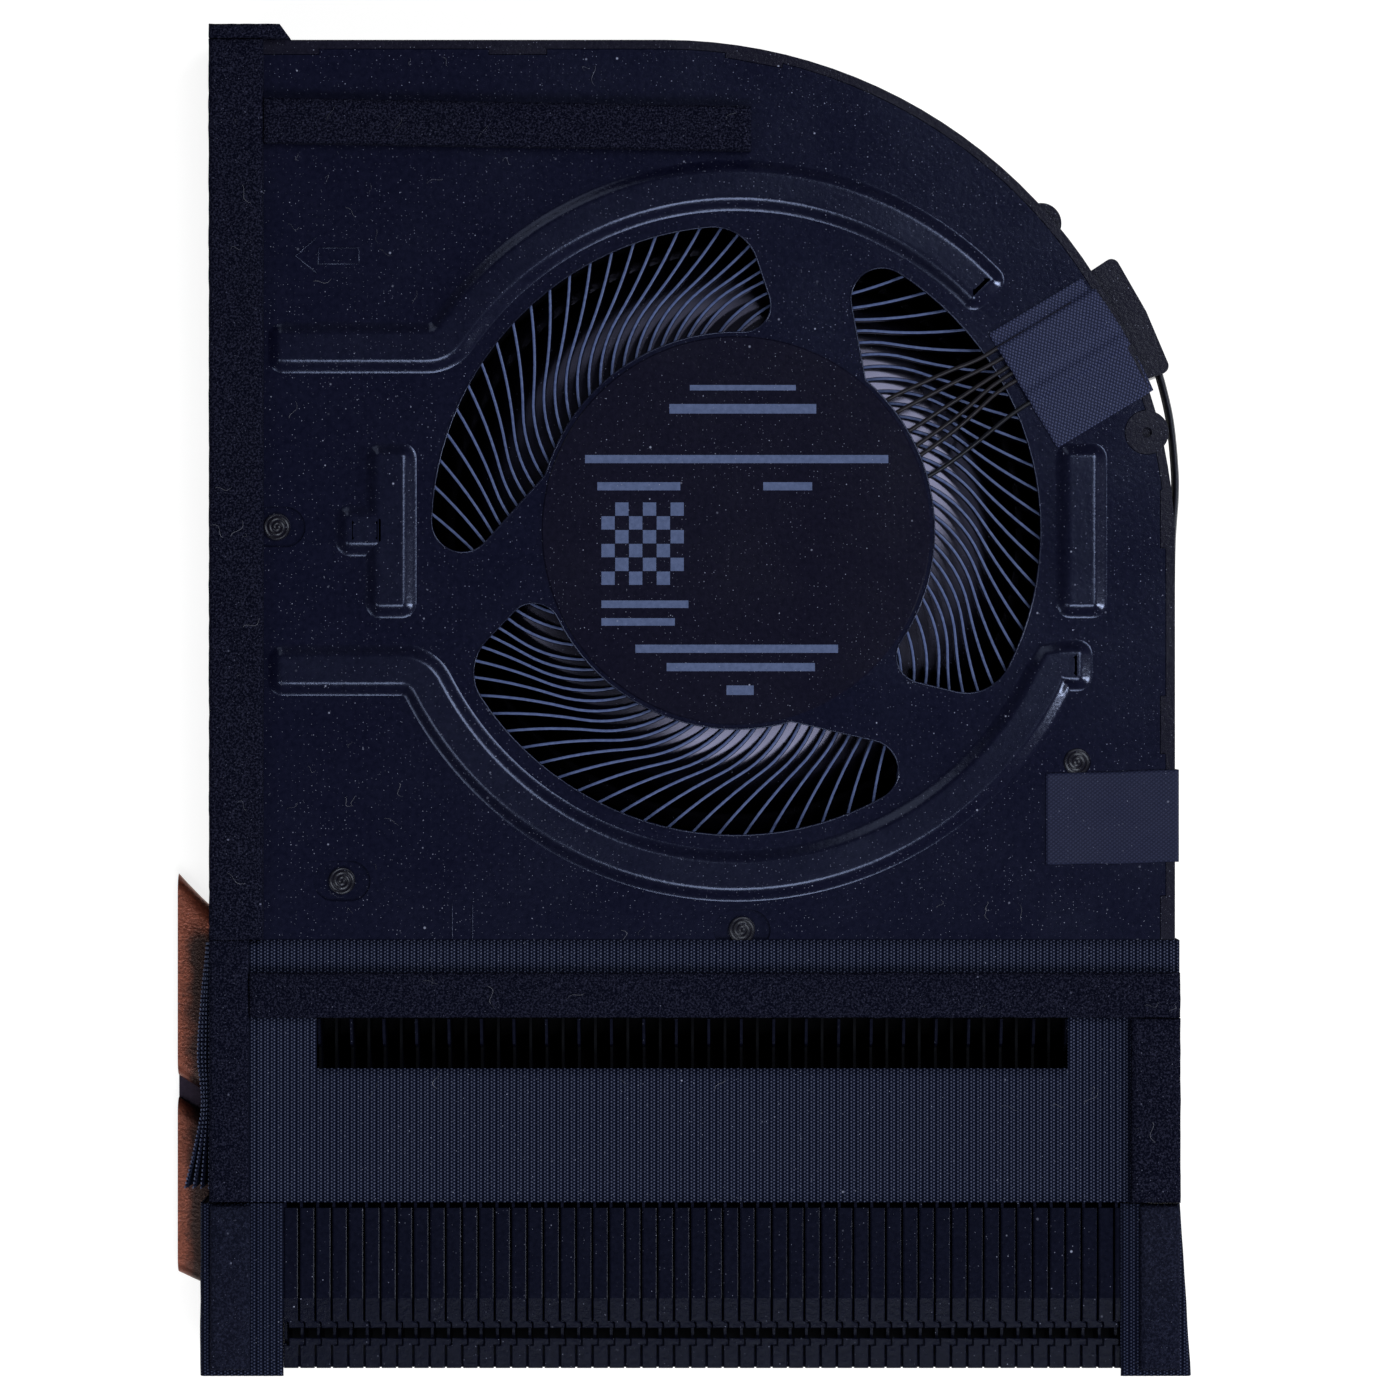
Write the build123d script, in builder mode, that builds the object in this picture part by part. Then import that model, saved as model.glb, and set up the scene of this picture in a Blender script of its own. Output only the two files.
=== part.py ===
from build123d import *
from math import asin, cos, degrees, radians, sin, sqrt
import os

# Laptop blower with a fin stack on two flattened heat pipes, lying with its label side up.
# X runs to the right, Y away from the fins, Z up; sketches are drawn about the fan axis.
# Sizes are in millimetres and angles in degrees, counted anticlockwise from +X.

# Fan housing, as distances from the fan axis
fan_left = 38.7
fan_right = 32.3
fan_top = 36.1
fan_bottom = 33.0
fan_height = 8.0
corner_radius = 37.6
sheet = 0.4
wall = 1.6
rim_width = 0.65
cover_gap = 0.05

# Clips of the frame that hold the cover's edge
clip_length = 4.2
clip_depth = 0.4
right_clips = (0.85, -14.3, -29.0)
top_clips = (-16.05, -32.8)
corner_clip_angle = 79.6

# Heat stakes of the frame: place of each pin, then the oval recess round it in the cover
stake_radius = 0.95
pin_radius = 0.5
pin_gap = 0.05
recess_depth = 0.25
left_stake = (-33.77, 0.26)
tongue_stake = (-28.99, -25.79)
outlet_stake = (0.44, -29.39)
nose_stake = (25.09, -17.03)
recess_length = 4.2
recess_width = 3.0
post_radius = 1.5
post_width = 3.2
post_length = 4.35
nose_radius = 1.7
nose_join = 4.2
sill_width = 1.6
sill_height = 0.5

# Round lug of the frame in a notch at the cover's right edge
lug_angle = 13.8
lug_inset = 1.0
lug_radius = 1.6
lug_dimple = 0.37

# Intake windows of the cover: start at the outer edge and at the hub, then end at both
window_outer = 22.44
window_inner = 14.6
windows = (
    (-33.8, -45.6, 70.1, 49.4),
    (88.1, 76.3, 192.3, 163.8),
    (206.2, 194.4, 312.4, 286.2),
)
window_start_fillet = 3.4
window_hub_fillet = 2.0
window_end_fillet = 2.3

# Stiffening ribs pressed up out of the cover
rib_offset = 2.96
rib_width = 3.1
rib_height = 0.5
rib_slope = 50.0
rib_groove = 1.6
rib_left = 34.1
upper_bar = 13.46
lower_bar = 10.26
upper_rib_end = 43.0
lower_rib_end = 337.0
rib_stub = 2.5
rib_bend = 2.2
stub_bend = 1.6
side_rib_length = 12.2
tee_stub = 2.2

# Impeller with unevenly pitched, S-shaped blades
impeller_radius = 25.5
impeller_floor = 0.9
impeller_disc = 22.3
disc_thickness = 0.6
hub_radius = 14.0
hub_top = 6.5
blade_top = 6.6
blade_thickness = 0.3
blade_sectors = 3
blades_per_sector = 26
blade_start = 75.0
blade_unevenness = 0.164
blade_mid_radius = 18.0
blade_mid_angle = 11.4
blade_lean = 60.2
blade_tip_angle = -6.5
blade_root_angle = 28.5
blade_root = 13.6
blade_root_runs = 2
blade_tip_runs = 3

# Rotor cup, magnet and shaft
cup_radius = 11.7
cup_wall = 0.4
cup_top = 6.4
cup_boss = 2.4
cup_boss_height = 1.0
glue_gap = 0.02
magnet_wall = 1.0
magnet_low = 2.2
magnet_top = 6.2
shaft_radius = 1.0
shaft_top = 6.75

# Bearing, stator and board, hung from the cover's hub
bearing_radius = 2.0
bearing_gap = 0.03
bearing_low = 2.5
bearing_top = 6.6
tube_wall = 0.65
tube_low = 2.4
flange_radius = 4.2
flange_thickness = 0.5
thrust_gap = 0.05
stator_air_gap = 0.4
stator_ring = 1.3
stator_low = 3.0
stator_height = 2.4
stator_poles = 9
pole_width = 1.6
pole_tip = 1.0
slot_width = 1.2
coil_wall = 0.55
coil_gap = 0.06
board_outer = 12.6
board_thickness = 0.5
chip_size = 3.0
chip_height = 0.45
chip_radius = 8.2
label_radius = 14.3
label_thickness = 0.12

# Motor leads: angle of each wire at the hub and at the window's outer edge
lead_angles = ((40.9, 34.6), (36.3, 32.8), (29.9, 31.2), (25.2, 29.8), (22.2, 28.4), (15.6, 23.7))
lead_diameter = 0.32
lead_sides = 8
lead_rise_start = 15.0
lead_rise_end = 21.8
lead_lift = 0.02
tape_thickness = 0.12
tape_angle = 26.7
tape_turn = 4.3
tape_near = 23.45
tape_inset = 0.45
tape_width = 9.8
tape_ridge_low = -2.1
tape_ridge_high = 4.0
tape_ridge_slope = 0.5

# Guide block on the housing corner, and the flat cable that leaves it
guide_start = 19.6
guide_end = 33.3
guide_reach = 2.1
guide_round = 0.6
guide_low = 2.0
guide_drop = 0.7
bump_angle = 41.0
bump_radius = 1.5
cable_width = 0.5
cable_height = 2.4
cable_low = 4.0
cable_sink = 0.3
cable_gap = 0.05
cable_leave = 9.5
cable_join_height = 4.2
side_tape_top = -17.85
side_tape_length = 6.9
side_tape_reach = 9.6
side_tape_low = 3.5
cable_tail = 1.0

# Fin stack
fin_count = 52
fin_pitch = 1.2
fin_shift = -2.7
fin_thickness = 0.2
fin_flange = 0.98
fin_depth = 25.7
fin_top_gap = 0.1
fin_bend = 5.2
fin_drop = 0.45
lock_start = 1.5
lock_length = 1.9
lock_notch = 0.45
bare_depth = 2.7
bare_inset = 0.14
duct_gap = 3.0

# Flattened heat pipes, bent about one centre at the left
pipe_width = 11.4
pipe_thickness = 2.0
pipe_spacing = 12.8
pipe_gap = 0.05
pipe_back = 6.6
bend_left = 16.4
bend_radius = 39.4
bend_sweep = 60.0
pipe_stub = 3.0
pipe_clear = 0.4
strip_height = 0.9

# Woven duct cloth, its folds and the foam on it
cloth_thickness = 0.2
cloth_lap = 2.87
cloth_cover = 13.4
cloth_over = 0.37
slot_inset_left = 2.4
slot_inset_right = 4.5
slot_start = 0.2
slot_height = 3.76
flap_bulge = 0.95
flap_bulge_share = 0.44
flap_waist = 0.55
flap_waist_share = 0.66
flap_flare = 1.9
flap_end_gap = 0.9
arm_wall = 1.2
arm_gap = 0.3
wrap_left_lip = 0.25
wrap_right_lip = 0.75
wrap_left_over = 0.75
wrap_right_start = 0.9
wrap_flare = 1.3
wrap_over = 0.5
wrap_gap = 0.1
wrap_clear = 0.3
foam = 1.0
foam_gap = 0.05
gasket_width = 3.97
gasket_lower_width = 2.95
top_gasket_length = 35.8
top_gasket_width = 3.3
top_gasket_inset = 4.35
top_gasket_drop = 0.66
cross_inset = 2.35
cross_width = 3.3
right_gasket_width = 3.68
pad_width = 3.0
pad_inset_left = 0.75
pad_end_gap = 0.45
cap_width = 5.9
cap_thickness = 1.1
cap_low = 2.4
cap_round = 0.7

# Places worked out from the sizes above
rib_radius = window_outer + rib_offset
corner_x = fan_right - corner_radius
corner_y = fan_top - corner_radius
cover_low = fan_height - sheet
cloth_low = fan_height
cloth_top = fan_height + cloth_thickness
foam_top = cloth_top + foam
cloth_left = -fan_left
cloth_right = fan_right + cloth_over
cloth_back = -(fan_bottom - cloth_lap)
fin_back = -(fan_bottom + duct_gap)
fin_front = fin_back - fin_depth
fin_low = pipe_thickness + pipe_gap
fin_top = fan_height - fin_top_gap
fin_left = fin_shift - fin_pitch * (fin_count - 1) / 2
fin_right = fin_left + fin_pitch * (fin_count - 1) + fin_flange
cloth_front = fin_back - cloth_cover
wrap_back = cloth_front - wrap_gap
wrap_front = fin_front - wrap_over
bend_x = -bend_left
bend_y = fin_back - pipe_back + bend_radius
lower_bend_radius = bend_radius + pipe_spacing
pipe_left = -(fan_left + pipe_stub)
wrap_right = fan_right + wrap_flare
cable_join = corner_y + cable_join_height

# The row origin is the middle of the base, so the fan axis stands off it by half of each overhang
fan_x = (-pipe_left - wrap_right) / 2
fan_y = (-wrap_front - (fan_top + cap_thickness)) / 2


def level(height):
    """Horizontal sketch plane at a height, centred on the fan axis."""
    return Plane(origin=(fan_x, fan_y, height))


def upright(across, facing):
    """Upright sketch plane through the fan axis, with Z up."""
    return Plane(origin=(fan_x, fan_y, 0), x_dir=across, z_dir=facing)


def polar(radius, angle):
    """Point at a radius and angle about the fan axis."""
    return (radius * cos(radians(angle)), radius * sin(radians(angle)))


def corner_point(radius, angle):
    """Point at a radius and angle about the centre of the housing's round corner."""
    return (corner_x + radius * cos(radians(angle)), corner_y + radius * sin(radians(angle)))


def housing_face(inset):
    """Plan of the fan housing, drawn in at the top, the round corner and the right side."""
    top = fan_top - inset
    right = fan_right - inset
    with BuildSketch(mode=Mode.PRIVATE) as face:
        with BuildLine():
            Polyline((corner_x, top), (-fan_left, top), (-fan_left, -fan_bottom), (right, -fan_bottom))
            Line((right, -fan_bottom), (right, corner_y))
            CenterArc((corner_x, corner_y), corner_radius - inset, 0, 90)
        make_face()
    return face.sketch


def clip_faces(grow):
    """Plan of the frame's clips at the cover's edge, grown by a clearance."""
    depth = 2 * (rim_width + clip_depth + grow)
    length = clip_length + 2 * grow
    with BuildSketch(mode=Mode.PRIVATE) as faces:
        with Locations(*[(fan_right, place) for place in right_clips]):
            Rectangle(depth, length)
        with Locations(*[(place, fan_top) for place in top_clips]):
            Rectangle(length, depth)
        with Locations(corner_point(corner_radius, corner_clip_angle)):
            Rectangle(depth, length, rotation=corner_clip_angle)
    return faces.sketch


def pipe_zone():
    """Plan of the corner that the bent pipes run through, with their clearance."""
    inner_edge = bend_radius - pipe_width / 2 - pipe_clear
    reach = bend_radius + pipe_width
    with BuildSketch(mode=Mode.PRIVATE) as zone:
        with Locations((bend_x, bend_y)):
            Rectangle(reach, reach, align=(Align.MAX, Align.MAX))
            Circle(inner_edge, mode=Mode.SUBTRACT)
    return zone.sketch


def window_face(start, hub_start, end, hub_end):
    """Plan of one intake window, with a round start and a slanted end."""
    with BuildSketch(mode=Mode.PRIVATE) as window:
        with BuildLine():
            outer = CenterArc((0, 0), window_outer, start, end - start)
            inner = CenterArc((0, 0), window_inner, hub_start, hub_end - hub_start)
            Line(outer @ 0, inner @ 0)
            Line(outer @ 1, inner @ 1)
        make_face()
        for place, radius in (
            (polar(window_outer, start), window_start_fillet),
            (polar(window_inner, hub_start), window_hub_fillet),
            (polar(window_outer, end), window_end_fillet),
        ):
            fillet(window.vertices().sort_by_distance(place)[0], radius)
    return window.sketch


def rib_faces(width):
    """Plan of all pressed ribs at one width."""
    upper_angle = 180 - degrees(asin(upper_bar / rib_radius))
    lower_angle = 180 + degrees(asin(lower_bar / rib_radius))
    trim = (rib_width - width) / 2
    with BuildSketch(mode=Mode.PRIVATE) as ribs:
        with BuildLine() as upper:
            Line((-rib_left + trim, upper_bar), polar(rib_radius, upper_angle))
            CenterArc((0, 0), rib_radius, upper_angle, upper_rib_end - upper_angle)
            fillet(upper.vertices().sort_by_distance(polar(rib_radius, upper_angle))[0], rib_bend)
        trace(upper.edges(), width)
        with BuildLine() as lower:
            Line((-rib_left + trim, -lower_bar), polar(rib_radius, lower_angle))
            arc = CenterArc((0, 0), rib_radius, lower_angle, lower_rib_end - lower_angle)
            Line(arc @ 1, arc @ 1 + Vector(rib_stub - trim, 0))
            fillet(lower.vertices().sort_by_distance(polar(rib_radius, lower_angle))[0], rib_bend)
            fillet(lower.vertices().sort_by_distance(polar(rib_radius, lower_rib_end))[0], stub_bend)
        trace(lower.edges(), width)
        with Locations((-rib_radius, 0), (rib_radius, 0)):
            Rectangle(width, side_rib_length - 2 * trim)
        tee_end = -rib_radius - rib_width / 2 - tee_stub
        add(box_face(tee_end + trim, -rib_radius, -width / 2, width / 2))
    return ribs.sketch


def box_face(left, right, low, high):
    """Rectangle in plan given by its four sides."""
    with BuildSketch(mode=Mode.PRIVATE) as face:
        with Locations(((left + right) / 2, (low + high) / 2)):
            Rectangle(right - left, high - low)
    return face.sketch


# Base cover of the housing, cut back round the bent pipes
with BuildPart() as base_cover:
    with BuildSketch(level(0)):
        add(housing_face(0))
        add(pipe_zone(), mode=Mode.SUBTRACT)
    extrude(amount=sheet)

# Moulded frame: scroll wall, rim, clips, posts with heat stakes on sills, guide block and duct arms
stakes = (left_stake, tongue_stake, outlet_stake, nose_stake)
lug_place = corner_point(corner_radius - lug_inset, lug_angle)
tongue_x, tongue_y = tongue_stake
sill_left = left_stake[0] - sill_width / 2
sill_front = outlet_stake[1] - sill_width / 2
arm_low = pipe_thickness + pipe_clear
right_arm = fin_right + arm_gap
with BuildPart() as fan_frame:
    with BuildSketch(level(sheet)):
        add(housing_face(0))
        add(housing_face(wall), mode=Mode.SUBTRACT)
        with Locations(left_stake, outlet_stake):
            Circle(post_radius)
        with Locations(lug_place):
            Circle(lug_radius)
        add(box_face(-fan_left, -fan_left + post_width, fan_top - post_length, fan_top))
    extrude(amount=cover_low - sheet)
    with BuildSketch(level(sheet)):
        with BuildLine():
            CenterArc(nose_stake, nose_radius, 0, 360)
            Polyline(
                (fan_right - wall / 2, corner_y - nose_join),
                (fan_right - wall / 2, -fan_bottom),
                (right_arm, -fan_bottom),
            )
        make_hull()
    extrude(amount=cover_low - sheet)
    with BuildSketch(level(sheet)):
        with BuildLine():
            CenterArc(tongue_stake, nose_radius, 0, 360)
            Polyline(
                (-fan_left, tongue_y + nose_radius),
                (-fan_left, -fan_bottom),
                (tongue_x - nose_radius, -fan_bottom),
            )
        make_hull()
    extrude(amount=cover_low - sheet)
    with BuildSketch(level(sheet)):
        add(box_face(sill_left, sill_left + sill_width, tongue_y, fan_top - wall / 2))
        add(box_face(tongue_x - nose_radius, right_arm, sill_front, sill_front + sill_width))
    extrude(amount=sill_height)
    with BuildSketch(level(arm_low)):
        add(box_face(-fan_left, -fan_left + arm_wall, cloth_front, tongue_y))
        add(box_face(right_arm, right_arm + arm_wall, cloth_front, nose_stake[1]))
    extrude(amount=cover_low - arm_low)
    with BuildSketch(level(cover_low)):
        add(housing_face(0))
        add(housing_face(rim_width), mode=Mode.SUBTRACT)
        add(clip_faces(0))
        add(housing_face(0), mode=Mode.INTERSECT)
        with Locations(lug_place):
            Circle(lug_radius)
            Circle(lug_dimple, mode=Mode.SUBTRACT)
        with Locations(*stakes):
            Circle(pin_radius)
    extrude(amount=sheet)
    with BuildSketch(level(fan_height - recess_depth + pin_gap)):
        with Locations(*stakes):
            Circle(stake_radius)
    extrude(amount=recess_depth - pin_gap)
    with BuildSketch(level(guide_low)):
        with BuildLine() as guide_line:
            Polyline(
                corner_point(corner_radius - wall / 2, guide_start),
                corner_point(corner_radius + guide_reach, guide_start),
                corner_point(corner_radius + guide_reach, (guide_start + guide_end) / 2),
                corner_point(corner_radius + guide_reach, guide_end),
                corner_point(corner_radius - wall / 2, guide_end),
                close=True,
            )
            for guide_corner in (guide_start, guide_end):
                outer_corner = corner_point(corner_radius + guide_reach, guide_corner)
                fillet(guide_line.vertices().sort_by_distance(outer_corner)[0], guide_round)
        make_face()
    extrude(amount=fan_height - guide_drop - guide_low)
    with BuildSketch(level(guide_low)):
        with Locations(corner_point(corner_radius - wall / 2, bump_angle)):
            Circle(bump_radius)
    extrude(amount=cover_low - guide_low)
    with BuildSketch(level(0)):
        add(pipe_zone())
    extrude(amount=arm_low, mode=Mode.SUBTRACT)
    with BuildSketch(level(cable_low - cable_gap)):
        add(box_face(fan_right - cable_sink - cable_gap, fan_right + wall, -fan_bottom - wall, cable_join))
    extrude(amount=cable_height + 2 * cable_gap, mode=Mode.SUBTRACT)

# Stamped cover with three intake windows round its hub, pressed ribs and heat stake holes
with BuildPart() as fan_cover:
    with BuildSketch(level(cover_low)):
        add(housing_face(rim_width + cover_gap))
        add(clip_faces(cover_gap), mode=Mode.SUBTRACT)
        for window in windows:
            add(window_face(*window), mode=Mode.SUBTRACT)
        with Locations(lug_place):
            Circle(lug_radius + cover_gap, mode=Mode.SUBTRACT)
        with Locations(*stakes):
            Circle(pin_radius + pin_gap, mode=Mode.SUBTRACT)
    extrude(amount=sheet)
    with BuildSketch(level(fan_height)):
        add(rib_faces(rib_width))
    extrude(amount=rib_height, taper=rib_slope)
    with BuildSketch(level(cover_low)):
        add(rib_faces(rib_groove))
    extrude(amount=rib_height, mode=Mode.SUBTRACT)
    with BuildSketch(level(fan_height - recess_depth)):
        with Locations(left_stake, tongue_stake, outlet_stake):
            SlotOverall(recess_length, recess_width)
        with Locations(nose_stake):
            Circle(stake_radius + pin_gap)
    extrude(amount=recess_depth, mode=Mode.SUBTRACT)

# Round label on the cover's hub
with BuildPart() as hub_label:
    with BuildSketch(level(fan_height)):
        Circle(label_radius)
    extrude(amount=label_thickness)

# Impeller: hub on a floor disc, with thin S-shaped blades that follow two arcs in short straight runs
disc_top = impeller_floor + disc_thickness
hub_bore = cup_radius + glue_gap
blade_angles = []
for sector in range(blade_sectors):
    sector_width = 360 / blade_sectors
    for step in range(blades_per_sector):
        share = step / blades_per_sector
        eased = share * (1 - blade_unevenness) + blade_unevenness * share**2
        blade_angles.append(blade_start + sector_width * (sector + eased))

with BuildSketch() as blade:
    middle = Vector(*polar(blade_mid_radius, blade_mid_angle))
    lean = Vector(1, 0).rotate(Axis.Z, blade_mid_angle - blade_lean)
    tip_arc = TangentArc(
        middle, polar(impeller_radius, blade_tip_angle), tangent=lean, mode=Mode.PRIVATE
    )
    root_arc = TangentArc(
        middle, polar(blade_root, blade_root_angle), tangent=lean * -1, mode=Mode.PRIVATE
    )
    root_stops = [root_arc @ (1 - run / blade_root_runs) for run in range(blade_root_runs)]
    tip_stops = [tip_arc @ (run / blade_tip_runs) for run in range(blade_tip_runs + 1)]
    with BuildLine() as blade_line:
        Polyline(*root_stops, *tip_stops)
    trace(blade_line.edges(), blade_thickness)

with BuildPart() as impeller:
    with BuildSketch(upright((1, 0, 0), (0, -1, 0))):
        with BuildLine():
            Polyline(
                (hub_bore, hub_top),
                (hub_bore, impeller_floor),
                (impeller_disc, impeller_floor),
                (impeller_disc, disc_top),
                (hub_radius, disc_top),
                (hub_radius, hub_top),
                close=True,
            )
        make_face()
    revolve(axis=Axis((fan_x, fan_y, 0), (0, 0, 1)))
    with BuildSketch(level(disc_top)):
        for angle in blade_angles:
            add(blade.sketch, rotation=angle)
    extrude(amount=blade_top - disc_top)

# Steel rotor cup with the boss that grips the shaft
with BuildPart() as rotor_cup:
    with BuildSketch(level(impeller_floor)):
        Circle(cup_radius)
        Circle(shaft_radius, mode=Mode.SUBTRACT)
    extrude(amount=cup_wall)
    with BuildSketch(level(impeller_floor)):
        Circle(cup_radius)
        Circle(cup_radius - cup_wall, mode=Mode.SUBTRACT)
    extrude(amount=cup_top - impeller_floor)
    with BuildSketch(level(impeller_floor)):
        Circle(cup_boss)
        Circle(shaft_radius, mode=Mode.SUBTRACT)
    extrude(amount=cup_boss_height)

# Ring magnet glued inside the cup
magnet_outer = cup_radius - cup_wall - glue_gap
magnet_inner = magnet_outer - magnet_wall
with BuildPart() as magnet_ring:
    with BuildSketch(level(magnet_low)):
        Circle(magnet_outer)
        Circle(magnet_inner, mode=Mode.SUBTRACT)
    extrude(amount=magnet_top - magnet_low)

# Shaft, pressed into the cup's boss
with BuildPart() as shaft:
    with BuildSketch(level(impeller_floor)):
        Circle(shaft_radius)
    extrude(amount=shaft_top - impeller_floor)

# Bearing tube with its flange under the cover's hub, and the bearing and thrust pad inside it
tube_bore = bearing_radius + glue_gap
tube_outer = tube_bore + tube_wall
flange_low = cover_low - flange_thickness
with BuildPart() as bearing_tube:
    with BuildSketch(level(tube_low)):
        Circle(tube_outer)
    extrude(amount=cover_low - tube_low)
    with BuildSketch(level(flange_low)):
        Circle(flange_radius)
    extrude(amount=flange_thickness)
    with BuildSketch(level(tube_low)):
        Circle(tube_bore)
    extrude(amount=flange_low - tube_low, mode=Mode.SUBTRACT)

with BuildPart() as bearing_sleeve:
    with BuildSketch(level(bearing_low)):
        Circle(bearing_radius)
        Circle(shaft_radius + bearing_gap, mode=Mode.SUBTRACT)
    extrude(amount=bearing_top - bearing_low)

with BuildPart() as thrust_pad:
    with BuildSketch(level(shaft_top + thrust_gap)):
        Circle(bearing_radius)
    extrude(amount=flange_low - shaft_top - thrust_gap)

# Stator laminations with T-shaped poles, and a coil round each pole
stator_outer = magnet_inner - stator_air_gap
stator_bore = tube_outer + glue_gap
pole_root = stator_bore + stator_ring
pole_end = stator_outer - pole_tip
with BuildPart() as stator_core:
    with BuildSketch(level(stator_low)):
        Circle(stator_outer)
        Circle(pole_end, mode=Mode.SUBTRACT)
        with PolarLocations(stator_outer, stator_poles, 180 / stator_poles):
            Rectangle(2 * (pole_tip + slot_width), slot_width, mode=Mode.SUBTRACT)
        with PolarLocations((pole_root + pole_end) / 2, stator_poles):
            Rectangle(pole_end - pole_root + pole_tip, pole_width)
        Circle(pole_root)
        Circle(stator_bore, mode=Mode.SUBTRACT)
    extrude(amount=stator_height)

coil_length = pole_end - pole_root - 2 * coil_wall
coil_hole = pole_width + 2 * coil_gap
with BuildPart() as stator_coils:
    with BuildSketch(level(stator_low - coil_gap - coil_wall)):
        with PolarLocations((pole_root + pole_end) / 2, stator_poles):
            Rectangle(coil_length, coil_hole + 2 * coil_wall)
    extrude(amount=stator_height + 2 * (coil_gap + coil_wall))
    with BuildSketch(level(stator_low - coil_gap)):
        with PolarLocations((pole_root + pole_end) / 2, stator_poles):
            Rectangle(coil_length + coil_wall, coil_hole)
    extrude(amount=stator_height + 2 * coil_gap, mode=Mode.SUBTRACT)

# Ring-shaped motor board under the cover's hub, with its drive chip
board_low = cover_low - board_thickness
with BuildPart() as motor_board:
    with BuildSketch(level(board_low)):
        Circle(board_outer)
        Circle(flange_radius + pin_gap, mode=Mode.SUBTRACT)
    extrude(amount=board_thickness)

with BuildPart() as drive_chip:
    with BuildSketch(level(board_low - chip_height)):
        with Locations((0, chip_radius)):
            Rectangle(chip_size, chip_size)
    extrude(amount=chip_height)

# Motor leads, from the board's edge across the window and under the tape
lead_low = board_low + lead_diameter / 2
lead_high = fan_height + lead_lift + lead_diameter / 2
lead_heading = tape_angle + tape_turn
axis_gap = corner_x * cos(radians(tape_angle)) + corner_y * sin(radians(tape_angle))
tape_far = axis_gap + sqrt(axis_gap**2 - corner_x**2 - corner_y**2 + corner_radius**2) - tape_inset
tape_length = tape_far - tape_near
with BuildPart() as motor_leads:
    for hub_angle, rim_angle in lead_angles:
        slope = (rim_angle - hub_angle) / (window_outer - window_inner)
        board_place = polar(board_outer + cover_gap, hub_angle)
        rise_start = polar(lead_rise_start, hub_angle + slope * (lead_rise_start - window_inner))
        rise_end = Vector(*polar(lead_rise_end, hub_angle + slope * (lead_rise_end - window_inner)))
        run_end = rise_end + Vector(*polar(tape_length, lead_heading))
        with BuildLine(level(0)) as route:
            Polyline(
                (*board_place, lead_low),
                (*rise_start, lead_low),
                (rise_end.X, rise_end.Y, lead_high),
                (run_end.X, run_end.Y, lead_high),
            )
        with BuildSketch(Plane(origin=route.line @ 0, z_dir=route.line % 0)) as section:
            RegularPolygon(lead_diameter / 2, lead_sides)
        sweep(section.sketch, route.wire(), transition=Transition.RIGHT)

# Tape over the leads, raised where they run under it
tape_middle = Vector(*polar((tape_near + tape_far) / 2, tape_angle))
tape_start = tape_middle - Vector(*polar(tape_length / 2, lead_heading))
ridge = lead_diameter + 2 * lead_lift
with BuildPart() as lead_tape:
    with BuildSketch(
        Plane(
            origin=(fan_x + tape_start.X, fan_y + tape_start.Y, fan_height),
            x_dir=(-sin(radians(lead_heading)), cos(radians(lead_heading)), 0),
            z_dir=(cos(radians(lead_heading)), sin(radians(lead_heading)), 0),
        )
    ):
        with BuildLine():
            lower_side = (
                (-tape_width / 2, 0),
                (tape_ridge_low - tape_ridge_slope, 0),
                (tape_ridge_low, ridge),
                (tape_ridge_high, ridge),
                (tape_ridge_high + tape_ridge_slope, 0),
                (tape_width / 2, 0),
            )
            upper_side = [(across, height + tape_thickness) for across, height in reversed(lower_side)]
            Polyline(*lower_side, *upper_side, close=True)
        make_face()
    extrude(amount=tape_length)

# Flat side cable from the guide block down the right wall and under the cloth
cable_x = fan_right - cable_sink + cable_width / 2
guide_exit = corner_point(corner_radius + cable_width, guide_start)
with BuildPart() as side_cable:
    with BuildSketch(level(cable_low)):
        with BuildLine() as cable_line:
            Polyline(
                (guide_exit[0] + cable_width / 2, guide_exit[1] - cable_width),
                (cable_x - cable_gap, corner_y + cable_leave),
                (cable_x + cable_sink, cable_join),
                (cable_x, corner_y),
                (cable_x, -fan_bottom - cable_tail),
            )
        trace(cable_line.edges(), cable_width)
    extrude(amount=cable_height)

# Tape that holds the cable, folded down over the right wall
with BuildPart() as side_tape:
    tape_edge = cable_x + cable_width / 2 + cable_gap
    side_tape_end = side_tape_top - side_tape_length
    with BuildSketch(level(fan_height)):
        add(box_face(fan_right - side_tape_reach, tape_edge + tape_thickness, side_tape_end, side_tape_top))
    extrude(amount=tape_thickness)
    with BuildSketch(level(side_tape_low)):
        add(box_face(tape_edge, tape_edge + tape_thickness, side_tape_end, side_tape_top))
    extrude(amount=fan_height - side_tape_low)

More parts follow.
